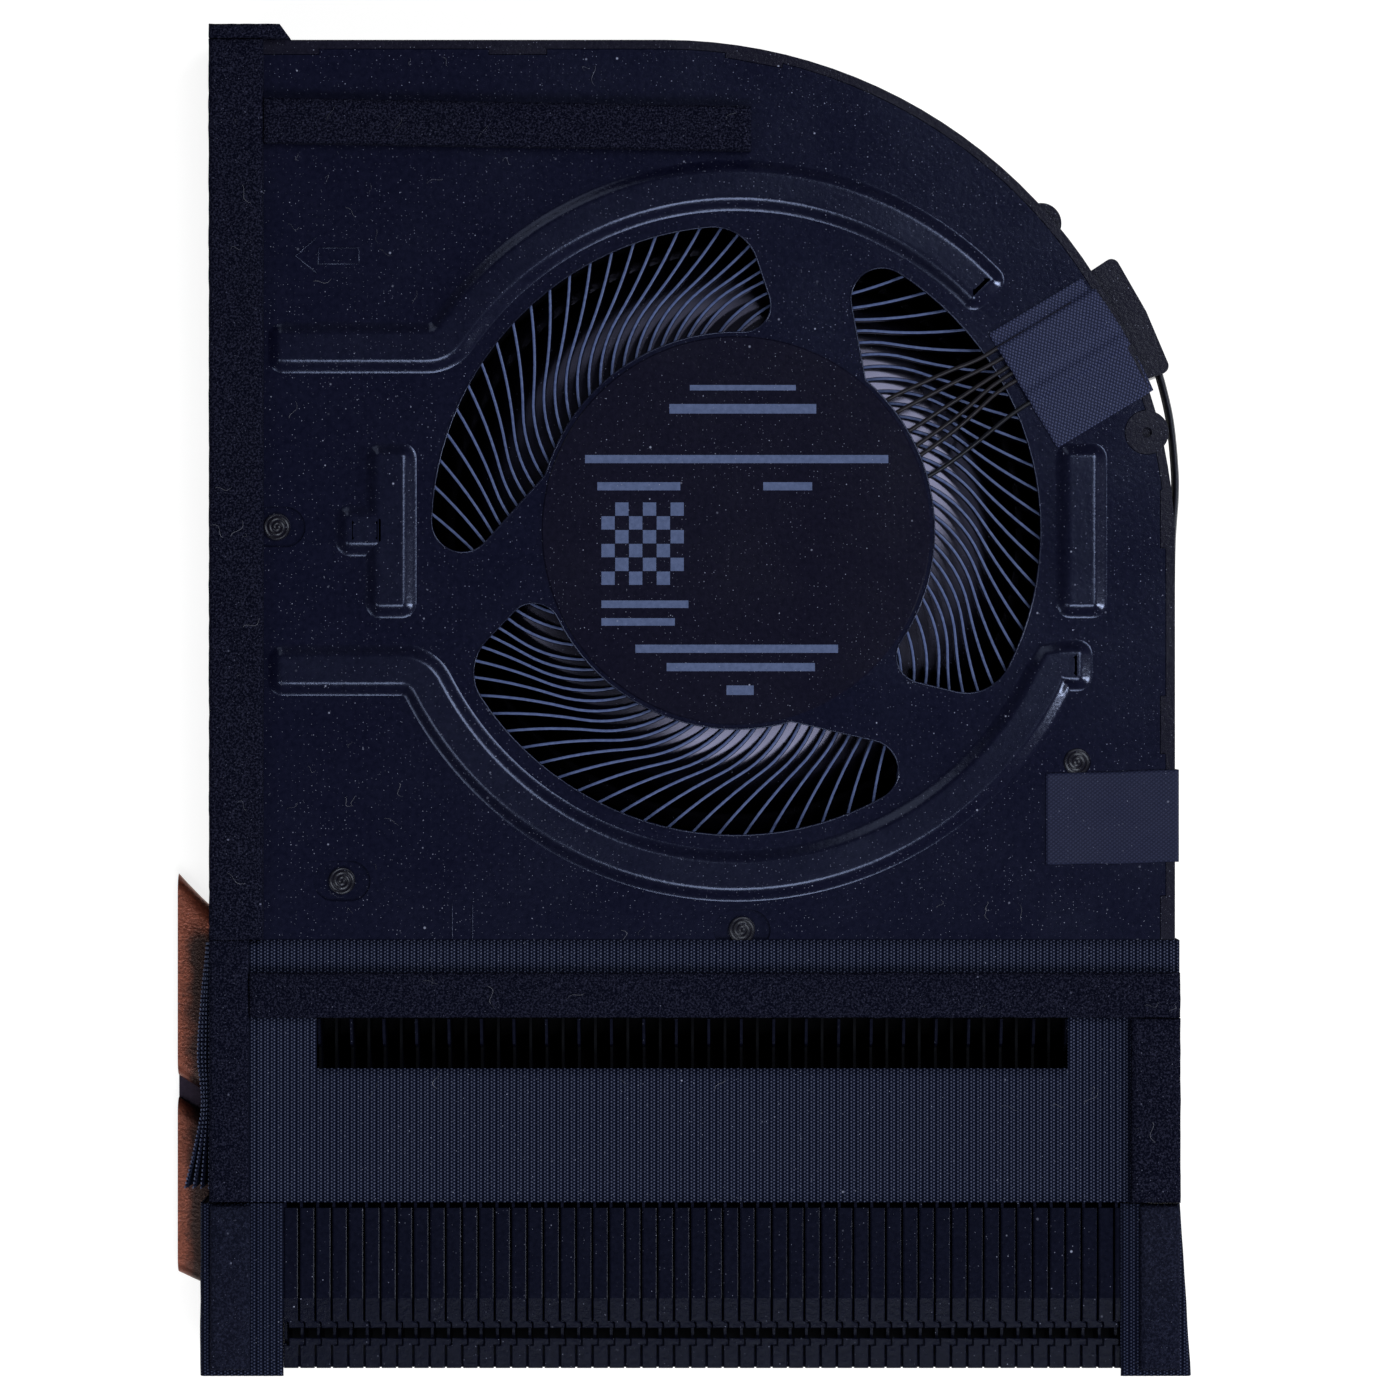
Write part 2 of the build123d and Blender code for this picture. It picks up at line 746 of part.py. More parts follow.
# Fin stack: folded fins that are cut low below the cloth's slot and lock at a notch near the front
slot_back = fin_back + slot_start
slot_front = slot_back - slot_height
flange_back = slot_front - bare_inset
with BuildPart() as fin:
    with BuildSketch(upright((0, 1, 0), (1, 0, 0))):
        with BuildLine():
            Polyline(
                (fin_back, fin_low),
                (fin_back, fin_top - bare_depth),
                (flange_back, fin_top - bare_depth),
                (flange_back, fin_top),
                (fin_front + fin_bend, fin_top),
                (fin_front, fin_top - fin_drop),
                (fin_front, fin_low),
                close=True,
            )
        make_face()
    extrude(amount=fin_thickness)
    with BuildSketch(upright((0, 1, 0), (1, 0, 0))):
        with BuildLine():
            Polyline(
                (flange_back, fin_top),
                (fin_front + fin_bend, fin_top),
                (fin_front, fin_top - fin_drop),
                (fin_front, fin_top - fin_drop - fin_thickness),
                (fin_front + fin_bend, fin_top - fin_thickness),
                (flange_back, fin_top - fin_thickness),
                close=True,
            )
        make_face()
    extrude(amount=fin_flange)
    with BuildSketch(level(fin_low)):
        add(box_face(0, fin_flange, fin_front, fin_back))
    extrude(amount=fin_thickness)
    lock_front = fin_front + lock_start
    lock_back = lock_front + lock_length
    lock_low = fin_top - fin_drop - fin_thickness
    with BuildSketch(level(lock_low)):
        add(box_face(fin_flange - lock_notch, fin_flange, lock_front, lock_back))
    extrude(amount=fin_drop + fin_thickness, mode=Mode.SUBTRACT)

with BuildPart() as fin_stack:
    with Locations(*[(fin_left + fin_pitch * index, 0) for index in range(fin_count)]):
        add(fin.part)

# Two flattened heat pipes under the fins, bent about one centre and closed flat at the left
pipe_right = fin_right - pipe_thickness


def heat_pipe(radius):
    """Flattened pipe along the fins and round the bend at one radius."""
    with BuildPart() as pipe:
        with BuildLine(level(pipe_thickness / 2)) as route:
            Line((pipe_right, bend_y - radius), (bend_x, bend_y - radius))
            CenterArc((bend_x, bend_y), radius, 270, -bend_sweep)
        start = (fan_x + pipe_right, fan_y + bend_y - radius, pipe_thickness / 2)
        with BuildSketch(Plane(origin=start, x_dir=(0, 1, 0), z_dir=(-1, 0, 0))):
            SlotOverall(pipe_width, pipe_thickness)
        sweep(path=route.wire())
        split(bisect_by=Plane.YZ.offset(fan_x + pipe_left), keep=Keep.TOP)
    return pipe


upper_pipe = heat_pipe(bend_radius)
lower_pipe = heat_pipe(lower_bend_radius)

# Dark filler strip between the two pipes where they leave the fins
strip_inner = bend_radius + pipe_width / 2 + pipe_gap
strip_outer = lower_bend_radius - pipe_width / 2 - pipe_gap
with BuildPart() as pipe_strip:
    with BuildSketch(level(0)):
        with Locations((bend_x, bend_y)):
            Circle(strip_outer)
            Circle(strip_inner, mode=Mode.SUBTRACT)
        add(box_face(pipe_left, bend_x, fin_front, bend_y), mode=Mode.INTERSECT)
    extrude(amount=strip_height)

# Woven cloth that closes the duct from the cover to the fins, folded down at the right
with BuildPart() as duct_cloth:
    with BuildSketch(level(cloth_low)):
        add(box_face(cloth_left, cloth_right, cloth_front, cloth_back))
        slot_left = fin_left + slot_inset_left
        slot_right = fin_right - slot_inset_right
        add(box_face(slot_left, slot_right, slot_front, slot_back), mode=Mode.SUBTRACT)
    extrude(amount=cloth_thickness)
    with BuildSketch(level(fin_low)):
        skirt = cable_x + cable_width / 2
        add(box_face(skirt, cloth_right, cloth_front, cloth_back))
    extrude(amount=cloth_low - fin_low)

# Loose end of the cloth, hanging at the left over the pipes
flap_front = cloth_front + flap_end_gap
flap_height = cloth_back - flap_front
with BuildPart() as left_flap:
    with BuildSketch(level(arm_low)):
        with BuildLine():
            Spline(
                (cloth_left - cloth_thickness, cloth_back),
                (cloth_left - flap_bulge, cloth_back - flap_height * flap_bulge_share),
                (cloth_left - flap_waist, cloth_back - flap_height * flap_waist_share),
                (cloth_left - flap_flare, flap_front),
            )
            Polyline(
                (cloth_left - flap_flare, flap_front),
                (cloth_left, flap_front),
                (cloth_left, cloth_back),
                (cloth_left - cloth_thickness, cloth_back),
            )
        make_face()
    extrude(amount=cloth_low - arm_low)

# Cloth-wrapped ends of the fin stack
left_wrap_outer = cloth_left - wrap_left_over
left_wrap_inner = fin_left - wrap_clear
with BuildPart() as left_end_wrap:
    with BuildSketch(level(arm_low)):
        add(box_face(left_wrap_outer, left_wrap_inner, wrap_front, wrap_back))
    extrude(amount=cloth_top - arm_low)
    with BuildSketch(level(cloth_low)):
        add(box_face(left_wrap_inner, fin_left + wrap_left_lip, wrap_front, wrap_back))
    extrude(amount=cloth_thickness)

with BuildPart() as right_end_wrap:
    with BuildSketch(level(arm_low)):
        with BuildLine():
            Polyline(
                (right_arm, wrap_back),
                (fan_right + wrap_right_start, wrap_back),
                (wrap_right, wrap_front),
                (right_arm, wrap_front),
                close=True,
            )
        make_face()
    extrude(amount=cloth_top - arm_low)
    with BuildSketch(level(cloth_low)):
        add(box_face(fin_right - wrap_right_lip, right_arm, wrap_front, wrap_back))
    extrude(amount=cloth_thickness)

# Foam pads on the two wraps
with BuildPart() as left_end_pad:
    with BuildSketch(level(cloth_top)):
        pad_left = left_wrap_outer + pad_inset_left
        add(box_face(pad_left, pad_left + pad_width, wrap_front + pad_end_gap, wrap_back - wrap_gap))
    extrude(amount=foam)

with BuildPart() as right_end_pad:
    with BuildSketch(level(cloth_top)):
        add(box_face(cloth_right - pad_width, cloth_right, wrap_front + pad_end_gap, wrap_back - wrap_gap))
    extrude(amount=foam)

# Foam gaskets round the intake and the duct
gasket_right = -fan_left + gasket_width
with BuildPart() as left_gasket:
    with BuildSketch(level(fan_height)):
        add(box_face(-fan_left, gasket_right, cloth_back + foam_gap, fan_top))
    extrude(amount=foam_top - fan_height)
    with BuildSketch(level(cloth_top)):
        add(box_face(-fan_left, -fan_left + gasket_lower_width, cloth_front, cloth_back + foam_gap))
    extrude(amount=foam)

with BuildPart() as top_gasket:
    with BuildSketch(level(fan_height)):
        gasket_start = gasket_right + foam_gap
        gasket_end = gasket_start + top_gasket_length
        gasket_back = fan_top - top_gasket_inset
        with BuildLine():
            Polyline(
                (gasket_start, gasket_back),
                (gasket_end, gasket_back - top_gasket_drop),
                (gasket_end, gasket_back - top_gasket_drop - top_gasket_width),
                (gasket_start, gasket_back - top_gasket_width),
                close=True,
            )
        make_face()
    extrude(amount=foam_top - fan_height)

cross_back = cloth_back - cross_inset
cross_front = cross_back - cross_width
with BuildPart() as cross_gasket:
    with BuildSketch(level(cloth_top)):
        add(box_face(-fan_left + gasket_lower_width + foam_gap, cloth_right, cross_front, cross_back))
    extrude(amount=foam)

with BuildPart() as right_gasket:
    with BuildSketch(level(cloth_top)):
        add(box_face(cloth_right - right_gasket_width, cloth_right, cloth_front, cross_front - foam_gap))
    extrude(amount=foam)

# Foam cap folded over the housing's top left corner
with BuildPart() as corner_cap:
    with BuildSketch(level(cap_low)) as cap_plan:
        add(box_face(-fan_left, -fan_left + cap_width, fan_top, fan_top + cap_thickness))
        fillet(cap_plan.vertices().group_by(Axis.Y)[-1].sort_by(Axis.X)[-1], cap_round)
    extrude(amount=foam_top - cap_low)

pieces = {
    "base_cover": base_cover,
    "fan_frame": fan_frame,
    "fan_cover": fan_cover,
    "hub_label": hub_label,
    "impeller": impeller,
    "rotor_cup": rotor_cup,
    "magnet_ring": magnet_ring,
    "shaft": shaft,
    "bearing_tube": bearing_tube,
    "bearing_sleeve": bearing_sleeve,
    "thrust_pad": thrust_pad,
    "stator_core": stator_core,
    "stator_coils": stator_coils,
    "motor_board": motor_board,
    "drive_chip": drive_chip,
    "motor_leads": motor_leads,
    "lead_tape": lead_tape,
    "side_cable": side_cable,
    "side_tape": side_tape,
    "fin_stack": fin_stack,
    "upper_heat_pipe": upper_pipe,
    "lower_heat_pipe": lower_pipe,
    "pipe_strip": pipe_strip,
    "duct_cloth": duct_cloth,
    "left_flap": left_flap,
    "left_end_wrap": left_end_wrap,
    "right_end_wrap": right_end_wrap,
    "left_end_pad": left_end_pad,
    "right_end_pad": right_end_pad,
    "left_gasket": left_gasket,
    "top_gasket": top_gasket,
    "cross_gasket": cross_gasket,
    "right_gasket": right_gasket,
    "corner_cap": corner_cap,
}

os.makedirs("parts", exist_ok=True)
for name, piece in pieces.items():
    piece.part.label = name
    export_step(piece.part, f"parts/{name}.step")
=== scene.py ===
"""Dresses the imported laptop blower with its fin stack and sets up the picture.

Lengths are millimetres, x and y from the fan axis and z from the rest plane, unless a name ends in _m.
"""
from __future__ import annotations

import logging
import math
from dataclasses import dataclass, field
from enum import Enum
from functools import cache
from itertools import accumulate
from typing import Any, Callable, Optional, Sequence

import bmesh
import bpy
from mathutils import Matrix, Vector, noise

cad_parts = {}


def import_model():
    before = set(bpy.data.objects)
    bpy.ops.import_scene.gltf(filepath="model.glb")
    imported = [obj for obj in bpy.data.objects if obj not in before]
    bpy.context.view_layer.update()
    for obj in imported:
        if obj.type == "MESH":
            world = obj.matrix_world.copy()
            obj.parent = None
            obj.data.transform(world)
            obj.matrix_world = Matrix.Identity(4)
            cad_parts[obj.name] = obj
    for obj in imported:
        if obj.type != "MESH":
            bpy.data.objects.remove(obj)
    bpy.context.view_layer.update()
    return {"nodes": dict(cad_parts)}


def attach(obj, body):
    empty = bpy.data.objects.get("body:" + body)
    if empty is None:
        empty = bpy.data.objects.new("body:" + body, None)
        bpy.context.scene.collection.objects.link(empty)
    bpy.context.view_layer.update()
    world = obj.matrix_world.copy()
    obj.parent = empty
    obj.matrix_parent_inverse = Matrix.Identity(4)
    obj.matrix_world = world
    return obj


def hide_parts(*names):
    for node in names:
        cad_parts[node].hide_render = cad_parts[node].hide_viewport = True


LOG = logging.getLogger("blower")
MM = 0.001
AXIS = (4.05, 12.5)
MAP = "weave"
CREASE = 38.0
DUST_LAYERS = ((3200.0, 0.12, 1.0), (1250.0, 0.07, 0.8), (420.0, 0.05, 0.5))
# Colour of the painted shadow that the flap casts on the copper pipes.
FLAP_SHADOW_COLOUR = (0.004, 0.003, 0.006)

Colour = tuple[float, float, float]
Spot = tuple[float, float]
Point = tuple[float, float, float]
Edge = tuple[int, int]
Socket = bpy.types.NodeSocket


class Body(Enum):
    """The two bodies that a piece can ride on."""

    HOUSING = "housing"
    ROTOR = "rotor"


class Pattern(Enum):
    """How a finish is textured beyond its grain."""

    NONE = "none"
    RIBBED = "ribbed"
    TWILL = "twill"
    BRUSHED = "brushed"


def polar(radius: float, angle: float) -> Spot:
    """The spot at a radius and an angle in degrees."""
    return radius * math.cos(math.radians(angle)), radius * math.sin(math.radians(angle))


def arc(radius: float, start: float, end: float, steps: int, centre: Spot = (0.0, 0.0)) -> list[Spot]:
    """Spots along a circular arc.

    Args:
        radius: Radius of the arc.
        start: First angle in degrees.
        end: Last angle in degrees.
        steps: Number of runs.
        centre: Centre of the arc.

    Returns:
        steps + 1 spots.
    """
    spots = [polar(radius, start + (end - start) * i / steps) for i in range(steps + 1)]
    return [(x + centre[0], y + centre[1]) for x, y in spots]


def lerp(a: float, b: float, t: float) -> float:
    """The value at share t of the way from a to b."""
    return a + (b - a) * t


def evenly(start: float, end: float, runs: int) -> list[float]:
    """Values from start to end in equal runs."""
    return [lerp(start, end, i / runs) for i in range(runs + 1)]


def smooth(t: float) -> float:
    """Share t, clamped and eased at both ends."""
    t = min(max(t, 0.0), 1.0)
    return t * t * (3 - 2 * t)


def ripple(x: float, y: float, z: float = 0.0) -> float:
    """Even noise between about -1 and 1 that is the same on every run."""
    return noise.noise(Vector((x, y, z)))


def wobble(kind: Point, x: float, y: float) -> float:
    """Noise at one place, of a kind given by its height, frequency and layer."""
    height, frequency, layer = kind
    return height * ripple(x * frequency, y * frequency, layer)


def swell(u: float, start: Spot, end: Spot) -> float:
    """Share at u of a rise to 1 and a fall to 0, each given by its place and length."""
    return smooth((u - start[0]) / start[1]) * (1 - smooth((u - end[0]) / end[1]))


def spline(points: Sequence[Spot], steps: int = 6) -> list[Spot]:
    """A smooth line through spots.

    Args:
        points: Spots that the line passes.
        steps: Runs between two neighbours.

    Returns:
        Spots along the line.
    """
    ends = [points[0], *points, points[-1]]
    line: list[Spot] = []
    for a, b, c, d in zip(ends, ends[1:], ends[2:], ends[3:]):
        for i in range(steps):
            t = i / steps
            line.append(tuple(
                0.5 * (2 * q + (r - p) * t + (2 * p - 5 * q + 4 * r - s) * t * t
                       + (3 * q - p - 3 * r + s) * t ** 3)
                for p, q, r, s in zip(a, b, c, d)
            ))
    return [*line, tuple(points[-1])]


def framed(points: Sequence[Point], shift: Spot = AXIS) -> list[Point]:
    """Points about the fan axis, or another spot, carried to the shared frame in metres."""
    return [((x + shift[0]) * MM, (y + shift[1]) * MM, z * MM) for x, y, z in points]


def headings(path: Sequence[Spot]) -> list[tuple[float, float, float, float]]:
    """The spots of a line, each with the direction in which the line passes it.

    Args:
        path: Spots along the line.

    Returns:
        For each spot its x and y and the two parts of the unit direction.
    """
    found = []
    for i, (x, y) in enumerate(path):
        a, b = path[max(i - 1, 0)], path[min(i + 1, len(path) - 1)]
        size = math.dist(a, b)
        found.append((x, y, (b[0] - a[0]) / size, (b[1] - a[1]) / size))
    return found


def travel(path: Sequence[Spot]) -> list[float]:
    """How far along a line each of its spots lies."""
    return list(accumulate(map(math.dist, path, path[1:]), initial=0.0))


class Graph:
    """Adds nodes to one tree and wires them."""

    def __init__(self, tree: bpy.types.NodeTree) -> None:
        """Keeps the tree that the nodes go to."""
        self.tree = tree

    def add(self, kind: str, inputs: Optional[dict[Any, Any]] = None, **settings: Any) -> bpy.types.Node:
        """Adds a node.

        Args:
            kind: Type name of the node.
            inputs: Values or sockets for its inputs, by name or index.
            **settings: Properties of the node.

        Returns:
            The node.
        """
        node = self.tree.nodes.new(kind)
        for name, value in settings.items():
            setattr(node, name, value)
        self.feed(node, inputs or {})
        return node

    def feed(self, node: bpy.types.Node, inputs: dict[Any, Any]) -> None:
        """Sets or links inputs of a node.

        Args:
            node: The node.
            inputs: Values or sockets for its inputs, by name or index.
        """
        for key, value in inputs.items():
            if isinstance(value, Socket):
                self.tree.links.new(value, node.inputs[key])
            else:
                node.inputs[key].default_value = value

    def math(self, operation: str, *values: Any) -> Socket:
        """The result of a math node on up to three values or sockets."""
        return self.add("ShaderNodeMath", dict(enumerate(values)), operation=operation).outputs[0]

    def span(self, value: Socket, low: float, high: float, to_low: float, to_high: float) -> Socket:
        """A value carried from one range to another and clamped."""
        inputs = {0: value, 1: low, 2: high, 3: to_low, 4: to_high}
        return self.add("ShaderNodeMapRange", inputs).outputs[0]

    def blend(self, share: Any, first: Any, second: Any) -> Socket:
        """A mix of two colours.

        Args:
            share: Share of the second colour.
            first: First colour or socket.
            second: Second colour or socket.

        Returns:
            The mixed colour.
        """
        sides = [side if isinstance(side, Socket) else (*side, 1.0) for side in (first, second)]
        node = self.add("ShaderNodeMix", {0: share, 6: sides[0], 7: sides[1]}, data_type="RGBA")
        return node.outputs[2]

    def group(self, tree: bpy.types.NodeTree, inputs: dict[str, float]) -> bpy.types.Node:
        """Places a shared node group with its own values."""
        return self.add("ShaderNodeGroup", inputs, node_tree=tree)


class Effects:
    """Shader groups that several finishes share, each built once."""

    @staticmethod
    def _tree(name: str, inputs: Sequence[str], outputs: Sequence[str]) -> tuple[Graph, Any, Any]:
        """Starts a shader group.

        Args:
            name: Name of the group.
            inputs: Names of its number inputs.
            outputs: Names of its number outputs.

        Returns:
            The graph, the outputs of its input node and its output node.
        """
        tree = bpy.data.node_groups.new(name, "ShaderNodeTree")
        for label in inputs:
            tree.interface.new_socket(label, in_out="INPUT", socket_type="NodeSocketFloat")
        for label in outputs:
            tree.interface.new_socket(label, in_out="OUTPUT", socket_type="NodeSocketFloat")
        graph = Graph(tree)
        return graph, graph.add("NodeGroupInput").outputs, graph.add("NodeGroupOutput")

    @staticmethod
    @cache
    def grain() -> bpy.types.NodeTree:
        """Fine grain and broad clouds on Object coordinates.

        Returns:
            The group.
        """
        inputs = ["Scale", "Cloud Scale", "Low", "High"]
        graph, source, sink = Effects._tree("surface_grain", inputs, ["Grain", "Cloud"])
        place = graph.add("ShaderNodeTexCoord").outputs["Object"]
        spans = {"Grain": (source["Low"], source["High"]), "Cloud": (0.33, 0.67)}
        for label, scale in (("Grain", "Scale"), ("Cloud", "Cloud Scale")):
            values = {"Vector": place, "Scale": source[scale], "Detail": 3.0, "Roughness": 0.6}
            texture = graph.add("ShaderNodeTexNoise", values)
            graph.feed(sink, {label: graph.span(texture.outputs[0], *spans[label], 0.0, 1.0)})
        return graph.tree

    @staticmethod
    @cache
    def dust() -> bpy.types.NodeTree:
        """Scattered specks of uneven size and brightness on faces that look up.

        Returns:
            The group.
        """
        graph, source, sink = Effects._tree("dust_specks", ["Scale", "Radius", "Share"], ["Mask"])
        place = graph.add("ShaderNodeTexCoord").outputs["Object"]
        values = {"Vector": place, "Scale": source["Scale"]}
        cells = graph.add("ShaderNodeTexVoronoi", values, voronoi_dimensions="2D")
        chance, size, light = graph.add("ShaderNodeSeparateColor", {0: cells.outputs["Color"]}).outputs
        kept = graph.math("LESS_THAN", chance, source["Share"])
        reach = graph.math("MULTIPLY", source["Radius"], graph.span(size, 0.0, 1.0, 0.45, 1.0))
        near = graph.math("DIVIDE", graph.math("SUBTRACT", reach, cells.outputs["Distance"]), reach)
        edge = graph.span(near, 0.0, 0.6, 0.0, 1.0)
        glow = graph.math("POWER", graph.span(light, 0.0, 1.0, 0.3, 1.0), 3.0)
        normal = graph.add("ShaderNodeNewGeometry").outputs["True Normal"]
        facing = graph.add("ShaderNodeSeparateXYZ", {0: normal})
        lying = graph.span(facing.outputs[2], 0.4, 0.8, 0.0, 1.0)
        shown, bright = graph.math("MULTIPLY", edge, kept), graph.math("MULTIPLY", glow, lying)
        graph.feed(sink, {"Mask": graph.math("MULTIPLY", shown, bright)})
        return graph.tree

    @staticmethod
    @cache
    def flap_shadow() -> bpy.types.NodeTree:
        """A dark painted shadow, the shade that the flap casts, that grows from Left to Right and from High to
        Low, with a soft uneven edge.

        Returns:
            The group.
        """
        graph, source, sink = Effects._tree("soot_stain", ["Left", "Right", "Low", "High"], ["Mask"])
        place = graph.add("ShaderNodeTexCoord").outputs["Object"]
        cloud = graph.add("ShaderNodeTexNoise", {"Vector": place, "Scale": 700.0, "Detail": 3.0})
        shift = graph.span(cloud.outputs[0], 0.3, 0.7, -0.0003, 0.0003)
        spot = graph.add("ShaderNodeSeparateXYZ", {0: place})
        shares = []
        for axis, start, end in ((0, "Left", "Right"), (1, "High", "Low")):
            value = graph.math("ADD", spot.outputs[axis], shift)
            values = {"Value": value, "From Min": source[start], "From Max": source[end]}
            share = graph.add("ShaderNodeMapRange", values, interpolation_type="SMOOTHSTEP")
            shares.append(share.outputs[0])
        graph.feed(sink, {"Mask": graph.math("MULTIPLY", graph.math("MULTIPLY", *shares), 0.94)})
        return graph.tree

    @staticmethod
    @cache
    def ribbed() -> bpy.types.NodeTree:
        """Columns of two strands whose stitches alternate, on the piece's own map in millimetres.

        Returns:
            The group.
        """
        graph, source, sink = Effects._tree("ribbed_weave", ["Column", "Row"], ["Height", "Stitch"])
        spot = graph.add("ShaderNodeSeparateXYZ", {0: graph.add("ShaderNodeUVMap", uv_map=MAP).outputs[0]})
        column = graph.math("FRACT", graph.math("DIVIDE", spot.outputs[0], source["Column"]))
        rib = graph.math("SINE", graph.math("MULTIPLY", column, math.pi))
        strand = graph.math("FLOOR", graph.math("MULTIPLY", column, 2.0))
        row = graph.math("DIVIDE", spot.outputs[1], source["Row"])
        shifted = graph.math("FRACT", graph.math("ADD", row, graph.math("MULTIPLY", strand, 0.5)))
        stitch = graph.math("SINE", graph.math("MULTIPLY", shifted, math.pi))
        inner = graph.math("FRACT", graph.math("MULTIPLY", column, 2.0))
        bulge = graph.math("SINE", graph.math("MULTIPLY", inner, math.pi))
        dot = graph.math("MULTIPLY", stitch, graph.span(bulge, 0.0, 1.0, 0.25, 1.0))
        side = graph.math("POWER", rib, 0.6)
        height = graph.math("MULTIPLY", side, graph.span(dot, 0.0, 1.0, 0.25, 1.0))
        shown = graph.span(graph.math("MULTIPLY", dot, side), 0.42, 0.92, 0.0, 1.0)
        graph.feed(sink, {"Height": height, "Stitch": shown})
        return graph.tree

    @staticmethod
    @cache
    def twill() -> bpy.types.NodeTree:
        """Small raised dots in slanted rows, on the piece's own map in millimetres.

        Returns:
            The group.
        """
        graph, source, sink = Effects._tree("twill_weave", ["Column", "Row"], ["Height", "Stitch"])
        spot = graph.add("ShaderNodeSeparateXYZ", {0: graph.add("ShaderNodeUVMap", uv_map=MAP).outputs[0]})
        across = graph.math("DIVIDE", spot.outputs[0], source["Column"])
        along = graph.math("DIVIDE", spot.outputs[1], source["Row"])
        waves = []
        for kind in ("ADD", "SUBTRACT"):
            slant = graph.math("MULTIPLY", graph.math(kind, across, along), math.pi * 0.5)
            waves.append(graph.math("ABSOLUTE", graph.math("SINE", slant)))
        dot = graph.math("MULTIPLY", *waves)
        graph.feed(sink, {"Height": dot, "Stitch": graph.span(dot, 0.3, 0.95, 0.0, 1.0)})
        return graph.tree

    @staticmethod
    @cache
    def brushed() -> bpy.types.NodeTree:
        """Long fine streaks along x, on Object coordinates.

        Returns:
            The group.
        """
        graph, source, sink = Effects._tree("drawn_streaks", ["Column", "Row"], ["Height", "Stitch"])
        place = graph.add("ShaderNodeTexCoord").outputs["Object"]
        spot = graph.add("ShaderNodeSeparateXYZ", {0: place})
        drawn = graph.add("ShaderNodeCombineXYZ", {
            i: graph.math("MULTIPLY", spot.outputs[i], source[label])
            for i, label in enumerate(("Column", "Row", "Row"))
        })
        values = {"Vector": drawn.outputs[0], "Scale": 1.0, "Detail": 4.0}
        streak = graph.add("ShaderNodeTexNoise", values).outputs[0]
        graph.feed(sink, {"Height": streak, "Stitch": graph.span(streak, 0.35, 0.68, 0.0, 1.0)})
        return graph.tree


@dataclass(frozen=True)
class Finish:
    """A surface: two colours, gloss, grain, dust, a pattern and an optional painted shadow."""

    name: str
    base: Colour
    tone: Colour
    roughness: float
    swing: float = 0.08
    specular: float = 0.12
    metallic: float = 0.0
    tint: Colour = (0.78, 0.86, 1.0)
    grain_scale: float = 2600.0
    cloud_scale: float = 140.0
    grain_depth: float = 0.006
    grain_span: Spot = (0.33, 0.67)
    dust: float = 0.0
    dust_colour: Colour = (0.2, 0.22, 0.31)
    pattern: Pattern = Pattern.NONE
    pitch: Spot = (0.49, 0.245)
    depth: float = 0.05
    thread: Colour = (0.04, 0.045, 0.085)
    # Left, right, low and high of a painted shadow, which darkens the colour towards right and low.
    flap_shadow: Optional[tuple[float, float, float, float]] = None

    @cache
    def material(self) -> bpy.types.Material:
        """The material of this finish, made on its first use.

        Returns:
            The material.
        """
        material = bpy.data.materials.new(f"{self.name}_finish")
        material.use_nodes = True
        graph = Graph(material.node_tree)
        low, high = self.grain_span
        grain = graph.group(Effects.grain(), {
            "Scale": self.grain_scale, "Cloud Scale": self.cloud_scale, "Low": low, "High": high,
        })
        colour = graph.blend(grain.outputs["Grain"], self.base, self.tone)
        glossy, dull = self.roughness - self.swing, self.roughness + self.swing
        relief = {"Strength": 1.0, "Distance": self.grain_depth * MM, "Height": grain.outputs["Grain"]}
        normal = graph.add("ShaderNodeBump", relief).outputs[0]
        if self.pattern is not Pattern.NONE:
            colour, normal = self._weave(graph, colour, normal)
        if self.dust > 0:
            for scale, radius, part in DUST_LAYERS:
                values = {"Scale": scale, "Radius": radius, "Share": self.dust * part}
                specks = graph.group(Effects.dust(), values)
                colour = graph.blend(specks.outputs["Mask"], colour, self.dust_colour)
        # Painted shadow: the colour darkens where the flap's shade falls on the pipes.
        if self.flap_shadow:
            shifts = (AXIS[0], AXIS[0], AXIS[1], AXIS[1])
            values = [(value + shift) * MM for value, shift in zip(self.flap_shadow, shifts)]
            shadow_mask = graph.group(Effects.flap_shadow(), dict(zip(("Left", "Right", "Low", "High"), values)))
            colour = graph.blend(shadow_mask.outputs["Mask"], colour, FLAP_SHADOW_COLOUR)
        graph.feed(graph.tree.nodes["Principled BSDF"], {
            "Metallic": self.metallic, "Specular IOR Level": self.specular,
            "Specular Tint": (*self.tint, 1.0), "Base Color": colour, "Normal": normal,
            "Roughness": graph.span(grain.outputs["Cloud"], 0.0, 1.0, glossy, dull),
        })
        return material

    def _weave(self, graph: Graph, colour: Socket, normal: Socket) -> tuple[Socket, Socket]:
        """Lays the pattern over the grain.

        Args:
            graph: Graph of the material.
            colour: Colour so far.
            normal: Normal so far.

        Returns:
            The new colour and normal.
        """
        trees = {
            Pattern.RIBBED: Effects.ribbed, Pattern.TWILL: Effects.twill, Pattern.BRUSHED: Effects.brushed,
        }
        weave = graph.group(trees[self.pattern](), dict(zip(("Column", "Row"), self.pitch)))
        colour = graph.blend(weave.outputs["Stitch"], colour, self.thread)
        height = weave.outputs["Height"]
        relief = {"Strength": 1.0, "Distance": self.depth * MM, "Height": height, "Normal": normal}
        return colour, graph.add("ShaderNodeBump", relief).outputs[0]


